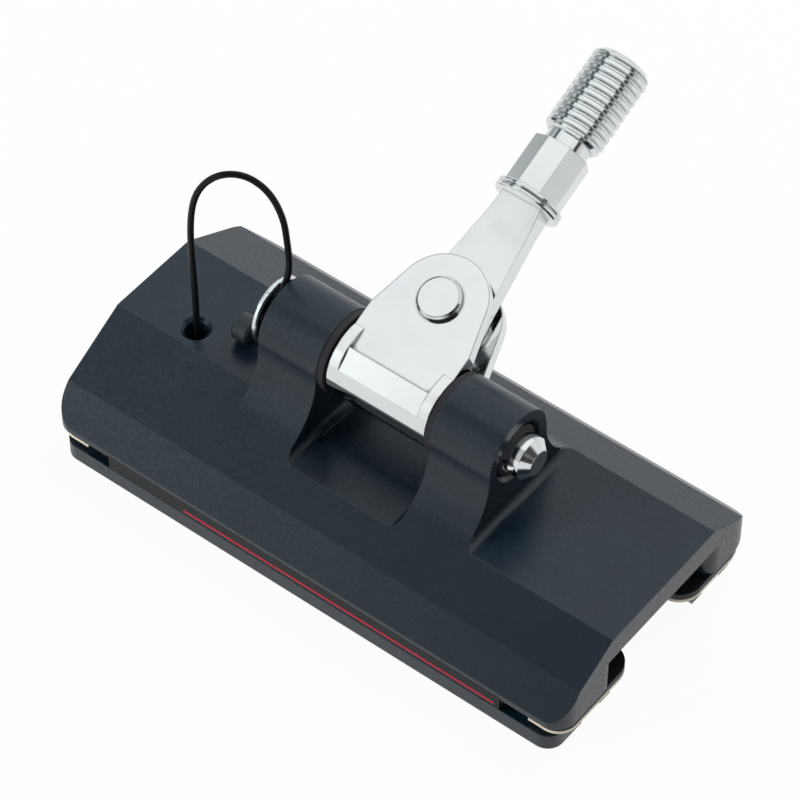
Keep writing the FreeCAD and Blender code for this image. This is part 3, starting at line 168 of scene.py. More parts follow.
class Effect:
    """A shader node group that several finishes share."""

    name = "effect"
    inputs: dict[str, float] = {}

    def fill(self, graph: Graph, given: Sockets) -> dict[str, Socket]:
        """Builds the effect from what the group is given, and gives its results by name."""
        raise NotImplementedError

    def group(self) -> bpy.types.NodeTree:
        """Gives the group, and builds it when it is first asked for.

        Returns:
            The node group.
        """
        known = bpy.data.node_groups.get(self.name)
        if known:
            return known
        tree = bpy.data.node_groups.new(self.name, "ShaderNodeTree")
        for name, value in self.inputs.items():
            socket = tree.interface.new_socket(name, in_out="INPUT", socket_type="NodeSocketFloat")
            socket.default_value = value
        graph = Graph(tree)
        given = self.fill(graph, graph.add("NodeGroupInput").outputs)
        for name, value in given.items():
            kind = "NodeSocketVector" if value.type == "VECTOR" else "NodeSocketFloat"
            tree.interface.new_socket(name, in_out="OUTPUT", socket_type=kind)
        graph.add("NodeGroupOutput", given)
        return tree

    def place(self, graph: Graph, **values: object) -> Sockets:
        """Puts the group into a material.

        Args:
            graph: The material's tree.
            values: What it is given, by name with spaces as underscores.

        Returns:
            What it gives.
        """
        node = graph.add("ShaderNodeGroup", node_tree=self.group())
        for name, value in values.items():
            graph.feed(node.inputs[name.replace("_", " ")], value)
        return node.outputs


class SoftEdges(Effect):
    """Rounds the shading of edges and finds them."""

    name = "soft_edges"
    inputs = {"Radius": 0.0003, "Gain": 2.0}

    def fill(self, graph: Graph, given: Sockets) -> dict[str, Socket]:
        """Fills the group with a Bevel node and the bend between its normal and the face's.

        Args:
            graph: The group's tree.
            given: What it is given.

        Returns:
            What it gives.
        """
        bevel = graph.add("ShaderNodeBevel", {"Radius": given["Radius"]}, samples=6)
        plain = graph.add("ShaderNodeNewGeometry").outputs["Normal"]
        along = graph.add("ShaderNodeVectorMath", {0: bevel.outputs[0], 1: plain}, operation="DOT_PRODUCT")
        bend = graph.maths("SUBTRACT", 1.0, along.outputs["Value"])
        mask = graph.maths("MULTIPLY", bend, given["Gain"], clamp=True)
        return {"Normal": bevel.outputs[0], "Mask": mask}


class FineGrain(Effect):
    """Fine even grain with a broad cloud over it, in the object's own coordinates."""

    name = "fine_grain"
    inputs = {"Grain Size": 0.0003, "Cloud Size": 0.012}

    def fill(self, graph: Graph, given: Sockets) -> dict[str, Socket]:
        """Fills the group with two noises.

        Args:
            graph: The group's tree.
            given: What it is given.

        Returns:
            What it gives.
        """
        place = graph.add("ShaderNodeTexCoord").outputs["Object"]
        noises = {}
        for name, detail in (("Grain", 3.0), ("Cloud", 4.0)):
            scale = graph.maths("DIVIDE", 1.0, given[name + " Size"])
            inputs = {"Vector": place, "Scale": scale, "Detail": detail, "Roughness": 0.6}
            noises[name] = graph.add("ShaderNodeTexNoise", inputs).outputs[0]
        return noises


class Streaks(Effect):
    """Fine lines from polishing or turning, drawn out along X or across it."""

    name = "polish_streaks"
    inputs = {"Scale X": 1.0, "Scale YZ": 1.0}

    def fill(self, graph: Graph, given: Sockets) -> dict[str, Socket]:
        """Fills the group with a drawn-out noise and a broad one.

        Args:
            graph: The group's tree.
            given: What it is given.

        Returns:
            What it gives.
        """
        place = graph.add("ShaderNodeTexCoord").outputs["Object"]
        yz_scale = given["Scale YZ"]
        scales = graph.add("ShaderNodeCombineXYZ", {0: given["Scale X"], 1: yz_scale, 2: yz_scale}).outputs[0]
        spread = graph.add("ShaderNodeVectorMath", {0: place, 1: scales}, operation="MULTIPLY").outputs[0]
        lines = graph.add("ShaderNodeTexNoise", {"Vector": spread, "Scale": 1.0, "Detail": 2.0})
        smudge = graph.add("ShaderNodeTexNoise", {"Vector": place, "Scale": 160.0, "Detail": 3.0})
        return {"Lines": lines.outputs[0], "Smudge": smudge.outputs[0]}


@dataclass(frozen=True)
class Finish:
    """A finish of the part's surfaces as one procedural material, with its lengths in metres."""

    name: str = "finish"
    base: Colour = (0.5, 0.5, 0.5)
    second: Colour = (0.5, 0.5, 0.5)
    roughness: float = 0.4
    metallic: float = 0.0
    specular: float = 0.5
    edge_radius: float = 0.0003
    cloud_range: Range = (0.3, 0.7)
    gloss_range: Range = (0.3, 0.7)
    gloss_play: Range = (0.05, 0.06)

    def shade(self, graph: Graph) -> dict[str, object]:
        """Builds what varies over the surface, and gives it by the names of the shader's inputs."""
        raise NotImplementedError

    def material(self) -> bpy.types.Material:
        """Gives the material, and builds it when it is first asked for.

        Returns:
            The material.
        """
        known = bpy.data.materials.get(self.name)
        if known:
            return known
        material = bpy.data.materials.new(self.name)
        material.use_nodes = True
        material.diffuse_color = (*self.base, 1.0)
        material.node_tree.nodes.clear()
        graph = Graph(material.node_tree)
        shader = graph.add("ShaderNodeBsdfPrincipled", {
            "Base Color": self.base, "Roughness": self.roughness,
            "Metallic": self.metallic, "Specular IOR Level": self.specular})
        for name, value in self.shade(graph).items():
            graph.feed(shader.inputs[name], value)
        graph.add("ShaderNodeOutputMaterial", {"Surface": shader.outputs[0]})
        return material

    def clouded(self, graph: Graph, cloud: object) -> Socket:
        """Gives the colour, which a noise shifts softly from the base to the second one."""
        return graph.mix(graph.span(cloud, *self.cloud_range), self.base, self.second)

    def gloss(self, graph: Graph, grain: object) -> Socket:
        """Gives the roughness, which varies a little with a noise."""
        less, more = self.gloss_play
        return graph.span(grain, *self.gloss_range, self.roughness - less, self.roughness + more)


@dataclass(frozen=True)
class AnodisedFinish(Finish):
    """Satin hard-anodised alloy with a fine matt grain, and edges lighter as part wear and part painted highlight."""

    name: str = "anodised_alloy"
    base: Colour = (0.0030, 0.0110, 0.0200)
    second: Colour = (0.0050, 0.0140, 0.0240)
    speckle: Colour = (0.0015, 0.0060, 0.0120)
    # edge: the lighter colour of the edges and blends, part wear and part painted highlight
    edge: Colour = (0.050, 0.065, 0.080)
    roughness: float = 0.30
    edge_radius: float = 0.00028
    edge_gain: float = 14.0
    grain_size: float = 0.0009
    cloud_size: float = 0.011
    grain_depth: float = 0.000012
    cloud_range: Range = (0.32, 0.68)
    speckle_range: Range = (0.40, 0.75)
    speckle_share: float = 0.6
    wear_range: Range = (0.25, 0.75)
    least_wear: float = 0.35

    def shade(self, graph: Graph) -> dict[str, object]:
        """Lays the cloudy colour, the grain, and edges lighter as part wear and part painted highlight.

        Args:
            graph: The material's tree.

        Returns:
            What feeds the shader.
        """
        grain = FineGrain().place(graph, Grain_Size=self.grain_size, Cloud_Size=self.cloud_size)
        edges = SoftEdges().place(graph, Radius=self.edge_radius, Gain=self.edge_gain)
        speckled = graph.span(grain["Grain"], *self.speckle_range, 0.0, self.speckle_share)
        ground = graph.mix(speckled, self.clouded(graph, grain["Cloud"]), self.speckle)
        # edges and blends painted lighter in patches, part wear and part painted highlight
        patchy = graph.span(grain["Grain"], *self.wear_range, self.least_wear, 1.0)
        worn_and_lit = graph.product(edges["Mask"], patchy)
        return {"Base Color": graph.mix(worn_and_lit, ground, self.edge),
                "Roughness": self.gloss(graph, grain["Grain"]),
                "Normal": graph.bump(grain["Grain"], self.grain_depth, edges["Normal"])}


@dataclass(frozen=True)
class StainlessFinish(Finish):
    """Polished stainless steel with faint polishing lines, a painted dark reflection along its edges and painted
    shade in its corners.
    """

    name: str = "polished_stainless"
    base: Colour = (0.815, 0.840, 0.842)
    second: Colour = (0.785, 0.815, 0.818)
    # edge: the dark grey of the painted dark reflection along the edges and the painted shade in the corners
    edge: Colour = (0.13, 0.145, 0.145)
    roughness: float = 0.06
    metallic: float = 1.0
    edge_radius: float = 0.00034
    edge_gain: float = 30.0
    edge_reflection_share: float = 0.78
    # painted shade in the corners, from ambient occlusion
    corner_reach: float = 0.0016
    corner_range: Range = (0.45, 0.80)
    corner_shade_share: float = 0.90
    along_x: bool = True
    line_width: float = 0.00022
    line_length: float = 40.0
    line_depth: float = 0.0000015
    line_gloss: float = 0.03
    cloud_range: Range = (0.35, 0.75)
    gloss_range: Range = (0.3, 0.75)
    gloss_play: Range = (0.0, 0.02)

    def shade(self, graph: Graph) -> dict[str, object]:
        """Lays the tint, the painted dark reflection along the edges, the painted shade in the corners, the uneven
        gloss and the polishing lines.

        Args:
            graph: The material's tree.

        Returns:
            What feeds the shader.
        """
        fine, slow = 1.0 / self.line_width, 1.0 / self.line_width / self.line_length
        x_scale, yz_scale = (slow, fine) if self.along_x else (fine, slow)
        streaks = Streaks().place(graph, Scale_X=x_scale, Scale_YZ=yz_scale)
        edges = SoftEdges().place(graph, Radius=self.edge_radius, Gain=self.edge_gain)
        # painted shade: ambient occlusion darkens the corners, and the edge mask paints a dark reflection along the
        # edges
        open_share = graph.add("ShaderNodeAmbientOcclusion", {"Distance": self.corner_reach}, samples=8)
        corner = graph.span(open_share.outputs["AO"], *self.corner_range, self.corner_shade_share, 0.0)
        dark = graph.maths("MAXIMUM", corner, graph.product(edges["Mask"], self.edge_reflection_share))
        smudged = self.gloss(graph, streaks["Smudge"])
        lined = graph.product(streaks["Lines"], self.line_gloss)
        return {"Base Color": graph.mix(dark, self.clouded(graph, streaks["Smudge"]), self.edge),
                "Roughness": graph.maths("ADD", smudged, lined),
                "Normal": graph.bump(streaks["Lines"], self.line_depth, edges["Normal"])}


@dataclass(frozen=True)
class MouldedFinish(Finish):
    """Moulded plastic with a fine eggshell skin."""

    grain_size: float = 0.00045
    cloud_size: float = 0.006
    skin_depth: float = 0.000006

    def shade(self, graph: Graph) -> dict[str, object]:
        """Lays the colour, the uneven gloss and the eggshell skin.

        Args:
            graph: The material's tree.

        Returns:
            What feeds the shader.
        """
        grain = FineGrain().place(graph, Grain_Size=self.grain_size, Cloud_Size=self.cloud_size)
        edges = SoftEdges().place(graph, Radius=self.edge_radius)
        return {"Base Color": self.clouded(graph, grain["Cloud"]),
                "Roughness": self.gloss(graph, grain["Grain"]),
                "Normal": graph.bump(grain["Grain"], self.skin_depth, edges["Normal"])}


@dataclass(frozen=True)
class GuideFinish(MouldedFinish):
    """Moulded cream end guide, with painted shade in black above a cream band along its lower edge."""

    name: str = "guide_moulding"
    base: Colour = (0.90, 0.82, 0.67)
    second: Colour = (0.84, 0.75, 0.59)
    # black: painted shade on the guide's faces inside the channel, above the cream band
    black: Colour = (0.0045, 0.0060, 0.0075)
    roughness: float = 0.42
    specular: float = 0.30
    band_top: float = 0.00620
    band_blur: float = 0.00006

    def clouded(self, graph: Graph, cloud: object) -> Socket:
        """Gives clouded cream below the band's top, and black above it as painted shade.

        Args:
            graph: The material's tree.
            cloud: The noise that shifts the cream.

        Returns:
            The colour.
        """
        place = graph.add("ShaderNodeTexCoord").outputs["Object"]
        height = graph.add("ShaderNodeSeparateXYZ", {0: place}).outputs["Z"]
        # painted shade: everything above the band's top turns black
        upper = graph.span(height, self.band_top - self.band_blur, self.band_top + self.band_blur)
        return graph.mix(upper, super().clouded(graph, cloud), self.black)


@dataclass(frozen=True)
class TapeFinish(Finish):
    """Dark side tape with one thin red line printed along it."""

    name: str = "side_tape"
    base: Colour = (0.0040, 0.0080, 0.0085)
    second: Colour = (0.0028, 0.0055, 0.0062)
    line: Colour = (0.48, 0.011, 0.042)
    roughness: float = 0.42
    specular: float = 0.20
    edge_radius: float = 0.00015
    gloss_play: Range = (0.05, 0.05)
    grain_size: float = 0.0006
    cloud_size: float = 0.018
    line_start: float = -0.0322
    line_end: float = 0.0520
    end_blur: float = 0.00008
    line_low: float = 0.00500
    line_high: float = 0.00572
    edge_blur: float = 0.00005
    line_depth: float = 0.00003

    def between(self, graph: Graph, value: object, low: float, high: float, blur: float) -> Socket:
        """Marks where a value lies between two limits.

        Args:
            graph: The material's tree.
            value: The value's socket.
            low: Lower limit.
            high: Upper limit.
            blur: Width of the soft edge at both limits.

        Returns:
            1 inside, 0 outside.
        """
        rise = graph.span(value, low - blur, low + blur)
        fall = graph.span(value, high - blur, high + blur, 1.0, 0.0)
        return graph.product(rise, fall)

    def shade(self, graph: Graph) -> dict[str, object]:
        """Lays the film's colour and its printed line.

        Args:
            graph: The material's tree.

        Returns:
            What feeds the shader.
        """
        place = graph.add("ShaderNodeTexCoord").outputs["Object"]
        parts = graph.add("ShaderNodeSeparateXYZ", {0: place}).outputs
        grain = FineGrain().place(graph, Grain_Size=self.grain_size, Cloud_Size=self.cloud_size)
        edges = SoftEdges().place(graph, Radius=self.edge_radius)
        lengthwise = self.between(graph, parts["X"], self.line_start, self.line_end, self.end_blur)
        upright = self.between(graph, parts["Z"], self.line_low, self.line_high, self.edge_blur)
        printed = graph.product(lengthwise, upright)
        return {"Base Color": graph.mix(printed, self.clouded(graph, grain["Cloud"]), self.line),
                "Roughness": self.gloss(graph, grain["Grain"]),
                "Normal": graph.bump(printed, self.line_depth, edges["Normal"])}


@dataclass(frozen=True)
class CableFinish(Finish):
    """Smooth black sheath over a fine wire lay that just shows through it."""

    name: str = "cable_sheath"
    base: Colour = (0.0035, 0.0040, 0.0048)
    second: Colour = (0.0060, 0.0066, 0.0076)
    roughness: float = 0.34
    specular: float = 0.16
    gloss_play: Range = (0.06, 0.06)
    grain_size: float = 0.0005
    cloud_size: float = 0.004
    ripple_depth: float = 0.00002

    def shade(self, graph: Graph) -> dict[str, object]:
        """Lays the sheath's colour and its slight ripple.

        Args:
            graph: The material's tree.

        Returns:
            What feeds the shader.
        """
        grain = FineGrain().place(graph, Grain_Size=self.grain_size, Cloud_Size=self.cloud_size)
        plain = graph.add("ShaderNodeNewGeometry").outputs["Normal"]
        return {"Base Color": self.clouded(graph, grain["Cloud"]),
                "Roughness": self.gloss(graph, grain["Grain"]),
                "Normal": graph.bump(grain["Grain"], self.ripple_depth, plain)}


ANODISED = AnodisedFinish()
STAINLESS = StainlessFinish()
# turned steel: a weaker painted edge reflection and painted corner shade than the polished toggle
TURNED_STAINLESS = StainlessFinish(name="turned_stainless", along_x=False, line_width=0.0003, roughness=0.08,
                                   edge_radius=0.00020, edge_reflection_share=0.26, corner_shade_share=0.32)
GUIDE = GuideFinish()
BALL_PLASTIC = MouldedFinish(name="bearing_plastic", base=(0.80, 0.77, 0.70), second=(0.74, 0.71, 0.63),
                             roughness=0.25)
BLACK_PLASTIC = MouldedFinish(name="black_plastic", base=(0.0012, 0.0040, 0.0065), second=(0.0025, 0.0060, 0.0090),
                              roughness=0.42, specular=0.03, edge_radius=0.0002)
DARK_METAL = MouldedFinish(name="dark_ferrule", base=(0.0120, 0.0185, 0.0205), second=(0.020, 0.0280, 0.0300),
                           roughness=0.36, specular=0.40)
TAPE = TapeFinish()
CABLE = CableFinish()


class Workshop:
    """Makes objects from meshes, and dresses CAD nodes."""

    @staticmethod
    def put(name: str, data: bpy.types.ID) -> bpy.types.Object:
        """Puts a new object into the scene.

        Args:
            name: Its name.
            data: Its mesh, curve, lamp or camera.

        Returns:
            The object.
        """
        made = bpy.data.objects.new(name, data)
        bpy.context.scene.collection.objects.link(made)
        return made

    @staticmethod
    def new_object(name: str, shape: Solid, finish: Finish, smooth_angle: float = 0.6) -> bpy.types.Object:
        """Turns a bmesh into an object with a finish.

        Args:
            name: The piece's name.
            shape: Its mesh, which is freed.
            finish: Its finish.
            smooth_angle: Angle in radians above which an edge stays sharp.

        Returns:
            The new object.
        """
        bmesh.ops.recalc_face_normals(shape, faces=shape.faces)
        for face in shape.faces:
            face.smooth = True
        for edge in shape.edges:
            edge.smooth = len(edge.link_faces) == 2 and edge.calc_face_angle() < smooth_angle
        mesh = bpy.data.meshes.new(name)
        shape.to_mesh(mesh)
        shape.free()
        mesh.materials.append(finish.material())
        return Workshop.put(name, mesh)

    @staticmethod
    def dress(nodes: Iterable[str], finish: Finish) -> None:
        """Gives CAD nodes a finish.

        Args:
            nodes: The nodes' names.
            finish: Their finish.
        """
        for name in nodes:
            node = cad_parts[name]
            if not node.material_slots:
                node.data.materials.append(None)
            for slot in node.material_slots:
                slot.link = "OBJECT"
                slot.material = finish.material()
            log.info("dressed %s in %s", name, finish.name)

    @staticmethod
    def settle(piece: bpy.types.Object, body: Body, slot: Slot, node: str) -> None:
        """Hands a finished piece to the frame.

        Args:
            piece: The piece, in place.
            body: The body it rides on.
            slot: Not used.
            node: The CAD node that it stands for.
        """
        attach(piece, body.value)
        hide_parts(node)
        log.info("made %s on %s", piece.name, body.value)


@dataclass(frozen=True)
class Lamp:
    """A soft round lamp, with its width in metres and its power in watts."""

    name: str
    place: Place
    width: float
    power: float


@dataclass(frozen=True)
class Ramp:
    """A smooth change of light along an axis of its direction, or with the distance from a middle on it."""

    axis: Axis
    low: float
    high: float
    to_low: float = 0.0
    to_high: float = 1.0
    middle: float | None = None

    def lay(self, graph: Graph, parts: Sockets) -> Socket:
        """Lays the ramp over the surroundings.

        Args:
            graph: The world's tree.
            parts: The direction's parts.

        Returns:
            The light at each direction.
        """
        value = parts[self.axis.value]
        if self.middle is not None:
            value = graph.maths("ABSOLUTE", graph.maths("SUBTRACT", value, self.middle))
        return graph.span(value, self.low, self.high, self.to_low, self.to_high)


@dataclass
class Studio:
    """The camera, the lamps, the white surroundings and the floor, in metres and degrees."""

    azimuth: float = 37.96
    elevation: float = 49.13
    distance: float = 0.892
    aim: Place = (-0.01017, 0.01258, 0.01400)
    lens: float = 183.15
    sensor: float = 36.0
    clip: Range = (0.01, 50.0)
    lamps: tuple[Lamp, ...] = (
        Lamp("back_lamp", (0.15, 0.75, 0.75), 0.7, 9.0),
        Lamp("front_lamp", (-0.60, -0.55, 0.45), 0.5, 6.0),
    )
    ambient: Colour = (0.30, 0.30, 0.306)
    cool: Colour = (0.84, 0.92, 0.93)
    cool_end: Ramp = Ramp(Axis.X, -0.46, -0.395)
    # two dark gaps between soft boxes, the fall towards the floor, and the dimmer left and right walls
    walls: tuple[Ramp, ...] = (
        Ramp(Axis.X, 0.0475, 0.1235, 0.14, 1.0, middle=-0.752),
        Ramp(Axis.X, 0.0350, 0.0910, 0.07, 1.0, middle=0.883),
        Ramp(Axis.Z, -0.05, 0.75, 0.80, 1.0),
        Ramp(Axis.X, -0.95, -0.80, 0.50, 1.0),
        Ramp(Axis.X, 0.42, 0.60, 1.0, 0.93),
    )
    # the dark room behind the camera
    shade: tuple[Ramp, ...] = (
        Ramp(Axis.Y, -0.32, -0.19, 1.0, 0.0),
        Ramp(Axis.X, -0.40, -0.345),
        Ramp(Axis.Z, 0.05, 0.28),
    )
    shade_depth: float = 0.95
    # the brighter light low in front
    glow: tuple[Ramp, ...] = (
        Ramp(Axis.Y, -0.72, -0.56, 1.3, 0.0),
        Ramp(Axis.X, -0.50, -0.40, 1.0, 0.1),
    )
    floor_half: float = 3.0
    floor_drop: float = 0.0001
    floor_matt: Colour = (0.75, 0.75, 0.75)
    floor_in_metal: Colour = (0.85, 0.85, 0.85)
    floor_glow: float = 0.95

    def eye(self) -> Vector:
        """Gives the direction from the aim to the camera.

        Returns:
            The direction, of length 1.
        """
        flat = math.cos(math.radians(self.elevation))
        turn = math.radians(self.azimuth)
        return Vector((math.sin(turn) * flat, -math.cos(turn) * flat, math.sin(math.radians(self.elevation))))

    def add_camera(self) -> None:
        """Adds the camera at the photograph's angle."""
        data = bpy.data.cameras.new("camera")
        data.lens = self.lens
        data.sensor_width = self.sensor
        data.clip_start, data.clip_end = self.clip
        camera = Workshop.put("camera", data)
        back = self.eye()
        camera.location = Vector(self.aim) + back * self.distance
        camera.rotation_mode = "QUATERNION"
        camera.rotation_quaternion = back.to_track_quat("Z", "Y")
        bpy.context.scene.camera = camera
        log.info("camera in place")

    def add_lamps(self) -> None:
        """Adds the soft lamps, each turned to the aim."""
        for lamp in self.lamps:
            data = bpy.data.lights.new(lamp.name, "AREA")
            data.shape = "DISK"
            data.size = lamp.width
            data.energy = lamp.power
            light = Workshop.put(lamp.name, data)
            light.location = lamp.place
            light.rotation_mode = "QUATERNION"
            light.rotation_quaternion = (Vector(lamp.place) - Vector(self.aim)).to_track_quat("Z", "Y")
            light.visible_glossy = False
            light.visible_camera = False

    def tent(self, graph: Graph, parts: Sockets) -> Socket:
        """Gives the white tent's light: its walls with two dark gaps, a shade in front and a glow low in front.

        Args:
            graph: The world's tree.
            parts: The direction's parts.

        Returns:
            The light at each direction, 1 where nothing changes it.
        """
        shade = graph.product(self.shade_depth, *(ramp.lay(graph, parts) for ramp in self.shade))
        glow = graph.product(*(ramp.lay(graph, parts) for ramp in self.glow))
        return graph.product(graph.maths("SUBTRACT", 1.0, shade), graph.maths("ADD", 1.0, glow),
                             *(wall.lay(graph, parts) for wall in self.walls))

    def light_world(self) -> None:
        """Makes the surroundings: the tent where metal sees them, white to the camera, and plain as light."""
        world = bpy.data.worlds.new("studio_world")
        bpy.context.scene.world = world
        world.use_nodes = True
        world.node_tree.nodes.clear()
        graph = Graph(world.node_tree)
        path = graph.add("ShaderNodeLightPath")
        direction = graph.add("ShaderNodeTexCoord").outputs["Generated"]
        parts = graph.add("ShaderNodeSeparateXYZ", {0: direction}).outputs
        tent = self.tent(graph, parts)
        grey = graph.add("ShaderNodeCombineColor", {0: tent, 1: tent, 2: tent}).outputs[0]
        tint = graph.mix(self.cool_end.lay(graph, parts), self.cool, WHITE)
        walls = graph.add("ShaderNodeVectorMath", {0: grey, 1: tint}, operation="MULTIPLY").outputs[0]
        seen = graph.maths("MAXIMUM", path.outputs["Is Camera Ray"], path.outputs["Is Transmission Ray"])
        bright = graph.maths("MAXIMUM", seen, path.outputs["Is Glossy Ray"])
        colour = graph.mix(bright, self.ambient, graph.mix(seen, walls, WHITE))
        background = graph.add("ShaderNodeBackground", {"Color": colour, "Strength": 1.0})
        graph.add("ShaderNodeOutputWorld", {"Surface": background.outputs[0]})

    def floor_material(self) -> bpy.types.Material:
        """Makes the floor's material: white where it is seen, matt to light, and clear from below.

        Returns:
            The material.
        """
        material = bpy.data.materials.new("pale_floor")
        material.use_nodes = True
        material.node_tree.nodes.clear()
        graph = Graph(material.node_tree)
        path = graph.add("ShaderNodeLightPath")
        matt = graph.add("ShaderNodeBsdfDiffuse", {"Color": self.floor_matt})
        white = graph.mix(path.outputs["Is Camera Ray"], self.floor_in_metal, WHITE)
        glow = graph.add("ShaderNodeEmission", {"Color": white})
        seen = graph.maths("MAXIMUM", path.outputs["Is Camera Ray"], path.outputs["Is Glossy Ray"])
        seen = graph.maths("MAXIMUM", seen, path.outputs["Is Transmission Ray"])
        share = graph.product(seen, self.floor_glow)
        surface = graph.add("ShaderNodeMixShader", {0: share, 1: matt.outputs[0], 2: glow.outputs[0]})
        clear = graph.add("ShaderNodeBsdfTransparent")
        below = graph.add("ShaderNodeNewGeometry").outputs["Backfacing"]
        sided = graph.add("ShaderNodeMixShader", {0: below, 1: surface.outputs[0], 2: clear.outputs[0]})
        graph.add("ShaderNodeOutputMaterial", {"Surface": sided.outputs[0]})
        return material

    def lay_floor(self) -> None:
        """Lays the plain pale floor, which shows only from above."""
        shape = bmesh.new()
        bmesh.ops.create_grid(shape, x_segments=1, y_segments=1, size=self.floor_half)
        mesh = bpy.data.meshes.new("floor")
        shape.to_mesh(mesh)
        shape.free()
        floor = Workshop.put("floor", mesh)
        floor.location.z = -self.floor_drop
        mesh.materials.append(self.floor_material())

    def build(self) -> None:
        """Builds the studio, the camera first."""
        self.add_camera()
        self.add_lamps()
        self.light_world()
        self.lay_floor()
        bpy.context.scene.view_settings.view_transform = "Standard"


@dataclass
class Lanyard:
    """The stiff black lanyard from its hole over an arch to the pin's neck, with its ferrule."""

    radius: float = 0.75 * MM
    length: float = 0.1226
    steps: int = 12
    roundness: int = 5
    order: int = 3
    route: tuple[Place, ...] = (
        (-51.4, -7.0, 19.6), (-51.1, -6.8, 33.0), (-51.4, -7.0, 47.5), (-51.6, -6.9, 60.0),
        (-50.2, -6.2, 69.6), (-46.2, -4.0, 75.6), (-40.8, -1.1, 76.8), (-36.3, 1.4, 72.6),
        (-33.7, 2.8, 65.0), (-33.1, 3.2, 56.5), (-32.5, 3.1, 49.8), (-32.3, 0.3, 45.4),
        (-32.3, -4.9, 43.2), (-32.3, -7.3, 38.6), (-32.4, -6.9, 33.9), (-33.3, -5.0, 30.6),
        (-35.6, -3.4, 29.5), (-38.2, -2.7, 30.0),
    )

    def build(self) -> None:
        """Makes the cord as one smooth curve, and dresses its crimps."""
        data = bpy.data.curves.new("lanyard", "CURVE")
        data.dimensions = "3D"
        data.resolution_u = self.steps
        data.bevel_depth = self.radius
        data.bevel_resolution = self.roundness
        data.use_fill_caps = True
        spline = data.splines.new("NURBS")
        spline.points.add(len(self.route) - 1)
        for point, place in zip(spline.points, self.route):
            point.co = (*(Vector(place) * MM), 1.0)
        spline.order_u = self.order
        spline.use_endpoint_u = True
        data.materials.append(CABLE.material())
        cord = Workshop.put("lanyard", data)
        Workshop.settle(cord, Body.CAR, Slot.CABLE, "lanyard_cord")
        Workshop.dress(["lanyard_ferrule", "lanyard_stop"], DARK_METAL)


@dataclass
class CarBody:
    """The car's milled body and the tape in each of its side recesses."""

    body: str = "car_body"
    tapes: tuple[str, ...] = ("near_side_strip", "far_side_strip")

    def build(self) -> None:
        """Dresses the body and the tapes."""
        Workshop.dress([self.body], ANODISED)
        Workshop.dress(self.tapes, TAPE)


@dataclass
class BallCircuit:
    """One train of balls round its circuit, in millimetres."""

    name: str
    side: Side
    ball_radius: float = 3.0
    count: int = 45
    height: float = 8.4
    load_run: float = 13.3
    return_run: float = 27.5
    turn_centre: float = 57.0
    meridians: int = 20
    belts: int = 12

    def place(self, share: float) -> Vector:
        """Gives a ball's centre.

        Args:
            share: How far round the circuit it lies, from 0 to 1.

        Returns:
            Its centre in metres.
        """
        turn = (self.return_run - self.load_run) / 2
        middle = (self.return_run + self.load_run) / 2
        straight, bend = 2 * self.turn_centre, math.pi * turn
        way = share * 2 * (straight + bend)
        if way < straight:
            x, y = way - self.turn_centre, self.load_run
        elif way < straight + bend:
            angle = (way - straight) / turn
            x, y = self.turn_centre + turn * math.sin(angle), middle - turn * math.cos(angle)
        elif way < 2 * straight + bend:
            x, y = self.turn_centre - (way - straight - bend), self.return_run
        else:
            angle = (way - 2 * straight - bend) / turn
            x, y = -self.turn_centre - turn * math.sin(angle), middle + turn * math.cos(angle)
        return Vector((x, y * self.side.value, self.height)) * MM

    def build(self) -> None:
        """Makes the train as smooth balls in place of the CAD's banded ones."""
        shape = bmesh.new()
        for index in range(self.count):
            made = Matrix.Translation(self.place(index / self.count))
            bmesh.ops.create_uvsphere(shape, u_segments=self.meridians, v_segments=self.belts,
                                      radius=self.ball_radius * MM, matrix=made)
        train = Workshop.new_object(self.name + "_train", shape, BALL_PLASTIC)
        Workshop.settle(train, Body.CAR, Slot.BALLS, self.name)


@dataclass
class BallSystem:
    """Both ball circuits, with the end guides, their screws and the ball wires."""

    guides: tuple[str, ...] = ("ball_guide_near_right", "ball_guide_far_right",
                               "ball_guide_near_left", "ball_guide_far_left")
    metal: tuple[str, ...] = ("guide_screws", "near_ball_wire", "far_ball_wire")

    def build(self) -> None:
        """Makes both circuits and dresses what holds them."""
        for name, side in (("near_balls", Side.NEAR), ("far_balls", Side.FAR)):
            BallCircuit(name, side).build()
        Workshop.dress(self.guides, GUIDE)
        Workshop.dress(self.metal, TURNED_STAINLESS)


@dataclass
class QuickPin:
    """The quick-release pin in its bushes."""

    bushes: tuple[str, ...] = ("left_bush", "right_bush")
    turned: tuple[str, ...] = ("pin_shank", "pin_head", "release_button", "release_spring",
                               "lock_ball_near", "lock_ball_far")

    def build(self) -> None:
        """Dresses the pin and its bushes."""
        Workshop.dress(self.bushes, BLACK_PLASTIC)
        Workshop.dress(self.turned, TURNED_STAINLESS)


@dataclass
class Toggle:
    """The toggle with its rivet and the washers beside the blade."""

    steel: tuple[str, ...] = ("toggle", "toggle_rivet")
    washers: tuple[str, ...] = ("blade_washers",)

    def build(self) -> None:
        """Dresses the toggle, its rivet and the washers."""
        Workshop.dress(self.steel, STAINLESS)
        Workshop.dress(self.washers, TURNED_STAINLESS)


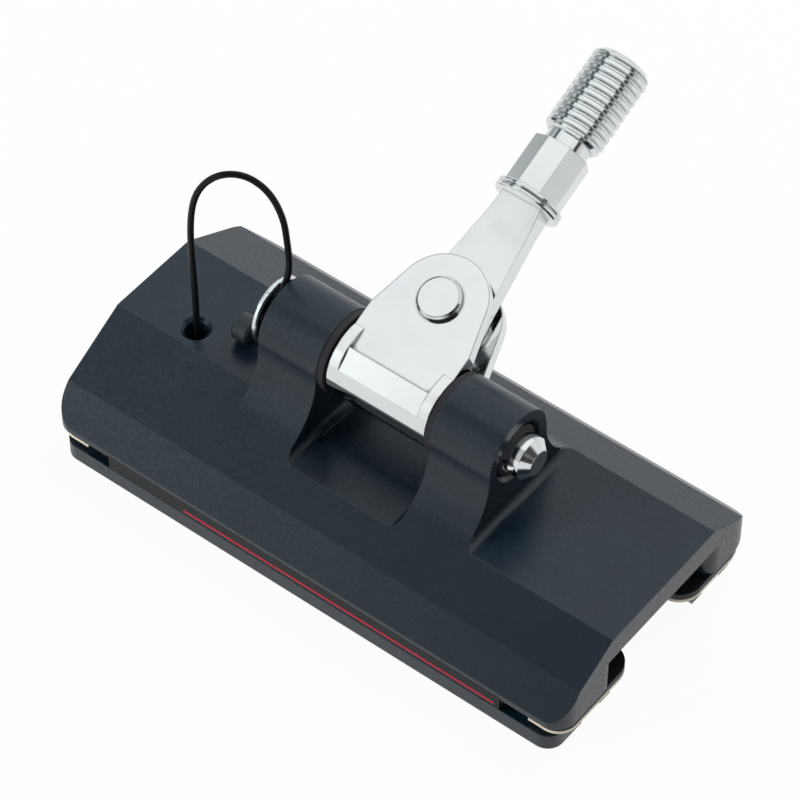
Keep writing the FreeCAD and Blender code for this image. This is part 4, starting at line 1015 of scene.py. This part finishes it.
@dataclass
class Stud:
    """The threaded stud in millimetres, drawn upright over the rivet's axis and then leaned."""

    lean: float = 66.5
    pin_height: float = 38.3
    rivet_rise: float = 18.0
    hole_radius: float = 3.06
    eye_radius: float = 8.4
    blade_thickness: float = 5.0
    blade_end_thickness: float = 6.6
    blade_end_width: float = 10.0
    blade_ramp: float = 24.0
    flange_low: float = 29.0
    flange_thickness: float = 2.3
    flange_radius: float = 8.0
    rim_groove: float = 0.35
    wrench_width: float = 13.0
    wrench_length: float = 12.0
    wrench_sides: int = 8
    wrench_turn: float = 8.9
    neck_radius: float = 5.3
    neck_length: float = 2.9
    thread_radius: float = 7.0
    thread_root: float = 6.35
    thread_length: float = 21.0
    thread_pitch: float = 2.0
    thread_chamfer: float = 1.2
    # the thread's form, as shares of its pitch
    crest_share: float = 0.42
    root_share: float = 0.26
    flank_share: float = 0.16
    flank_round: float = 0.35
    thread_samples: tuple[float, ...] = (0.0, 0.14, 0.28, 0.42, 0.46, 0.50, 0.54, 0.58, 0.71, 0.84, 0.88, 0.92, 0.96)
    # how the solids are meshed and joined
    spare_turns: int = 2
    merge: float = 0.002
    collapse: float = 0.001
    blank_half: float = 5.0
    cutter_reach: float = 2.0
    sink: float = 0.4
    overlap: float = 0.5
    around: int = 96
    eye_steps: int = 72
    sharp_angle: float = 0.45

    @property
    def flange_top(self) -> float:
        """Gives the flange's upper face."""
        return self.flange_low + self.flange_thickness

    @property
    def wrench_top(self) -> float:
        """Gives the end of the wrench flats."""
        return self.flange_top + self.wrench_length

    @property
    def thread_low(self) -> float:
        """Gives the thread's lower end."""
        return self.wrench_top + self.neck_length

    @property
    def thread_top(self) -> float:
        """Gives the thread's upper end."""
        return self.thread_low + self.thread_length

    def seat(self) -> Matrix:
        """Gives the way from the stud's own axes to the leaning rest pose.

        Returns:
            The matrix, which also turns millimetres to metres.
        """
        angle = math.radians(self.lean)
        out, up = math.sin(angle) * self.rivet_rise, math.cos(angle) * self.rivet_rise
        rivet = Vector((0, out, self.pin_height + up)) * MM
        return Matrix.Translation(rivet) @ Matrix.Rotation(-angle, 4, "X") @ Matrix.Scale(MM, 4)

    @staticmethod
    def polygon(radius: float, sides: int, turn: float = 0.0) -> list[Range]:
        """Gives the corners of a regular polygon, turned about its middle by an angle in radians."""
        angles = [turn + 2 * math.pi * i / sides for i in range(sides)]
        return [(radius * math.cos(angle), radius * math.sin(angle)) for angle in angles]

    @staticmethod
    def prism(outline: Sequence[Range], low: float, high: float, axis: Axis = Axis.Z) -> Solid:
        """Makes a closed prism.

        Args:
            outline: Its corners in order.
            low: Place of its first end.
            high: Place of its other end.
            axis: The axis that it is drawn along.

        Returns:
            Its mesh.
        """
        order = {Axis.Z: (0, 1, 2), Axis.Y: (0, 2, 1), Axis.X: (2, 0, 1)}[axis]
        shape = bmesh.new()
        rings = [[shape.verts.new([(a, b, c)[k] for k in order]) for a, b in outline] for c in (low, high)]
        shape.faces.new(rings[0])
        shape.faces.new(rings[1])
        for i in range(len(outline)):
            j = (i + 1) % len(outline)
            shape.faces.new((rings[0][i], rings[0][j], rings[1][j], rings[1][i]))
        return shape

    def lathe(self, profile: Sequence[Range]) -> Solid:
        """Turns a profile about the stud's axis.

        Args:
            profile: Radius and height, from axis to axis.

        Returns:
            The closed mesh.
        """
        shape = bmesh.new()
        rings = []
        for radius, height in profile:
            if radius == 0:
                rings.append([shape.verts.new((0, 0, height))])
            else:
                rings.append([shape.verts.new((x, y, height)) for x, y in self.polygon(radius, self.around)])
        for below, above in zip(rings, rings[1:]):
            for i in range(self.around):
                j = (i + 1) % self.around
                corners = [below[i % len(below)], below[j % len(below)], above[j % len(above)], above[i % len(above)]]
                unique = list(dict.fromkeys(corners))
                if len(unique) > 2:
                    shape.faces.new(unique)
        return shape

    def blade_outline(self) -> list[Range]:
        """Gives the blade's outline: its eye, and flanks that touch the eye's circle.

        Returns:
            Its corners in order, from the flange round the eye and back.
        """
        half = self.blade_end_width / 2
        spoke = math.hypot(half, self.flange_low)
        lift = math.atan2(self.flange_low, half) - math.acos(self.eye_radius / spoke)
        sweep = math.pi + 2 * lift
        points = [(half, self.flange_low + self.sink)]
        for i in range(self.eye_steps + 1):
            angle = lift - sweep * i / self.eye_steps
            points.append((self.eye_radius * math.cos(angle), self.eye_radius * math.sin(angle)))
        points.append((-half, self.flange_low + self.sink))
        return points

    def thread_height(self, share: float) -> float:
        """Gives the thread's radius over one pitch.

        Args:
            share: Place in the pitch from 0 to 1.

        Returns:
            The radius there.
        """
        crest, flank = self.crest_share, self.flank_share
        depth = self.thread_radius - self.thread_root
        if share < crest:
            return self.thread_radius
        if share < crest + flank:
            step = (share - crest) / flank
        elif share < crest + flank + self.root_share:
            step = 1.0
        else:
            step = (1.0 - share) / flank
        curved = depth * (0.5 - 0.5 * math.cos(math.pi * step)) * self.flank_round
        return self.thread_radius - curved - depth * step * (1.0 - self.flank_round)

    def thread(self) -> Solid:
        """Cuts the helical thread, with a cone at both ends.

        Returns:
            The closed mesh of the threaded length.
        """
        turns = range(-self.spare_turns, int(self.thread_length / self.thread_pitch) + 1 + self.spare_turns)
        low, high = self.thread_low, self.thread_top
        start = self.thread_radius - self.thread_chamfer
        shape = bmesh.new()
        verts = []
        for i, (x, y) in enumerate(self.polygon(1.0, self.around)):
            verts.append([])
            for turn, share in ((turn, share) for turn in turns for share in self.thread_samples):
                height = low + self.thread_pitch * (turn + share + i / self.around)
                held = min(max(height, low), high)
                limit = start + min(held - low, high - held)
                radius = min(self.thread_height(share), limit) if low < height < high else start
                verts[i].append(shape.verts.new((radius * x, radius * y, held)))
        rows, shift = len(verts[0]), len(self.thread_samples)
        for i in range(self.around):
            for k in range(rows - 1):
                a, b = verts[i][k], verts[i][k + 1]
                if i + 1 < self.around:
                    c, d = verts[i + 1][k + 1], verts[i + 1][k]
                elif k + shift + 1 < rows:
                    c, d = verts[0][k + shift + 1], verts[0][k + shift]
                else:
                    c, d = verts[0][rows - 1], verts[0][rows - 1]
                unique = list(dict.fromkeys((a, d, c, b)))
                if len(unique) > 2:
                    shape.faces.new(unique)
        bmesh.ops.remove_doubles(shape, verts=shape.verts, dist=self.merge)
        bmesh.ops.dissolve_degenerate(shape, edges=shape.edges, dist=self.collapse)
        loose = [edge for edge in shape.edges if len(edge.link_faces) == 1]
        bmesh.ops.holes_fill(shape, edges=loose, sides=0)
        return shape

    @staticmethod
    def combine(base: bpy.types.Object, shape: Solid, way: Join) -> None:
        """Combines the piece with another solid.

        Args:
            base: The piece.
            shape: The other solid, which is freed.
            way: How they are combined.
        """
        other = Workshop.new_object("tool", shape, TURNED_STAINLESS)
        change = base.modifiers.new("change", "BOOLEAN")
        change.object = other
        change.operation = way.value
        change.solver = "EXACT"
        seen = base.evaluated_get(bpy.context.evaluated_depsgraph_get())
        mesh = bpy.data.meshes.new_from_object(seen)
        base.modifiers.clear()
        old, base.data = base.data, mesh
        bpy.data.meshes.remove(old)
        data = other.data
        bpy.data.objects.remove(other)
        bpy.data.meshes.remove(data)

    def blade(self) -> bpy.types.Object:
        """Makes the blade with its ramps, its eye and the hole in it.

        Returns:
            The piece, with the blade alone.
        """
        reach = self.eye_radius + self.cutter_reach
        root = self.flange_low + self.sink
        half, end = self.blade_thickness / 2, self.blade_end_thickness / 2
        side = [(half, -reach), (half, self.blade_ramp), (end, self.flange_low), (end, root)]
        section = side + [(-x, z) for x, z in reversed(side)]
        blank = self.prism(self.blade_outline(), -self.blank_half, self.blank_half, Axis.Y)
        piece = Workshop.new_object("threaded_stud", blank, TURNED_STAINLESS)
        self.combine(piece, self.prism(section, -reach, reach, Axis.X), Join.INTERSECT)
        rod = self.prism(self.polygon(self.hole_radius, self.around), -reach, reach, Axis.Y)
        self.combine(piece, rod, Join.DIFFERENCE)
        return piece

    def wrench(self) -> Solid:
        """Makes the wrench section, an octagon a little turned about the stud's axis.

        Returns:
            Its mesh, which starts inside the flange.
        """
        corner = self.wrench_width / 2 / math.cos(math.pi / self.wrench_sides)
        turn = math.radians(self.wrench_turn) + math.pi / self.wrench_sides
        flats = self.polygon(corner, self.wrench_sides, turn)
        return self.prism(flats, self.flange_top - self.overlap, self.wrench_top)

    def shaft(self) -> Solid:
        """Turns the flange with its rim groove, and the neck.

        Returns:
            Their mesh, which ends inside the thread.
        """
        rim, groove = self.flange_radius, self.rim_groove
        low, high, end = self.flange_low, self.flange_top, self.thread_low + self.overlap
        middle = (low + high) / 2
        return self.lathe([(0, low), (rim - groove, low), (rim, low + groove), (rim, middle - groove),
                           (rim - groove, middle), (rim, middle + groove), (rim, high - groove),
                           (rim - groove, high), (self.neck_radius, high), (self.neck_radius, end), (0, end)])

    def build(self) -> None:
        """Makes the stud as one solid in place of the CAD's plain one."""
        piece = self.blade()
        for part in (self.wrench, self.shaft, self.thread):
            self.combine(piece, part(), Join.UNION)
        shape = bmesh.new()
        shape.from_mesh(piece.data)
        bmesh.ops.transform(shape, matrix=self.seat(), verts=shape.verts)
        bpy.data.objects.remove(piece)
        done = Workshop.new_object("threaded_stud", shape, TURNED_STAINLESS, self.sharp_angle)
        Workshop.settle(done, Body.STUD, Slot.STAINLESS, "stud")


def main() -> None:
    """Builds the studio and each sub-assembly in order."""
    logging.basicConfig(level=logging.INFO, format="%(name)s: %(message)s")
    Studio().build()
    for assembly in (Lanyard(), CarBody(), BallSystem(), QuickPin(), Toggle(), Stud()):
        assembly.build()
        log.info("finished %s", type(assembly).__name__)


if __name__ == "__main__":
    main()
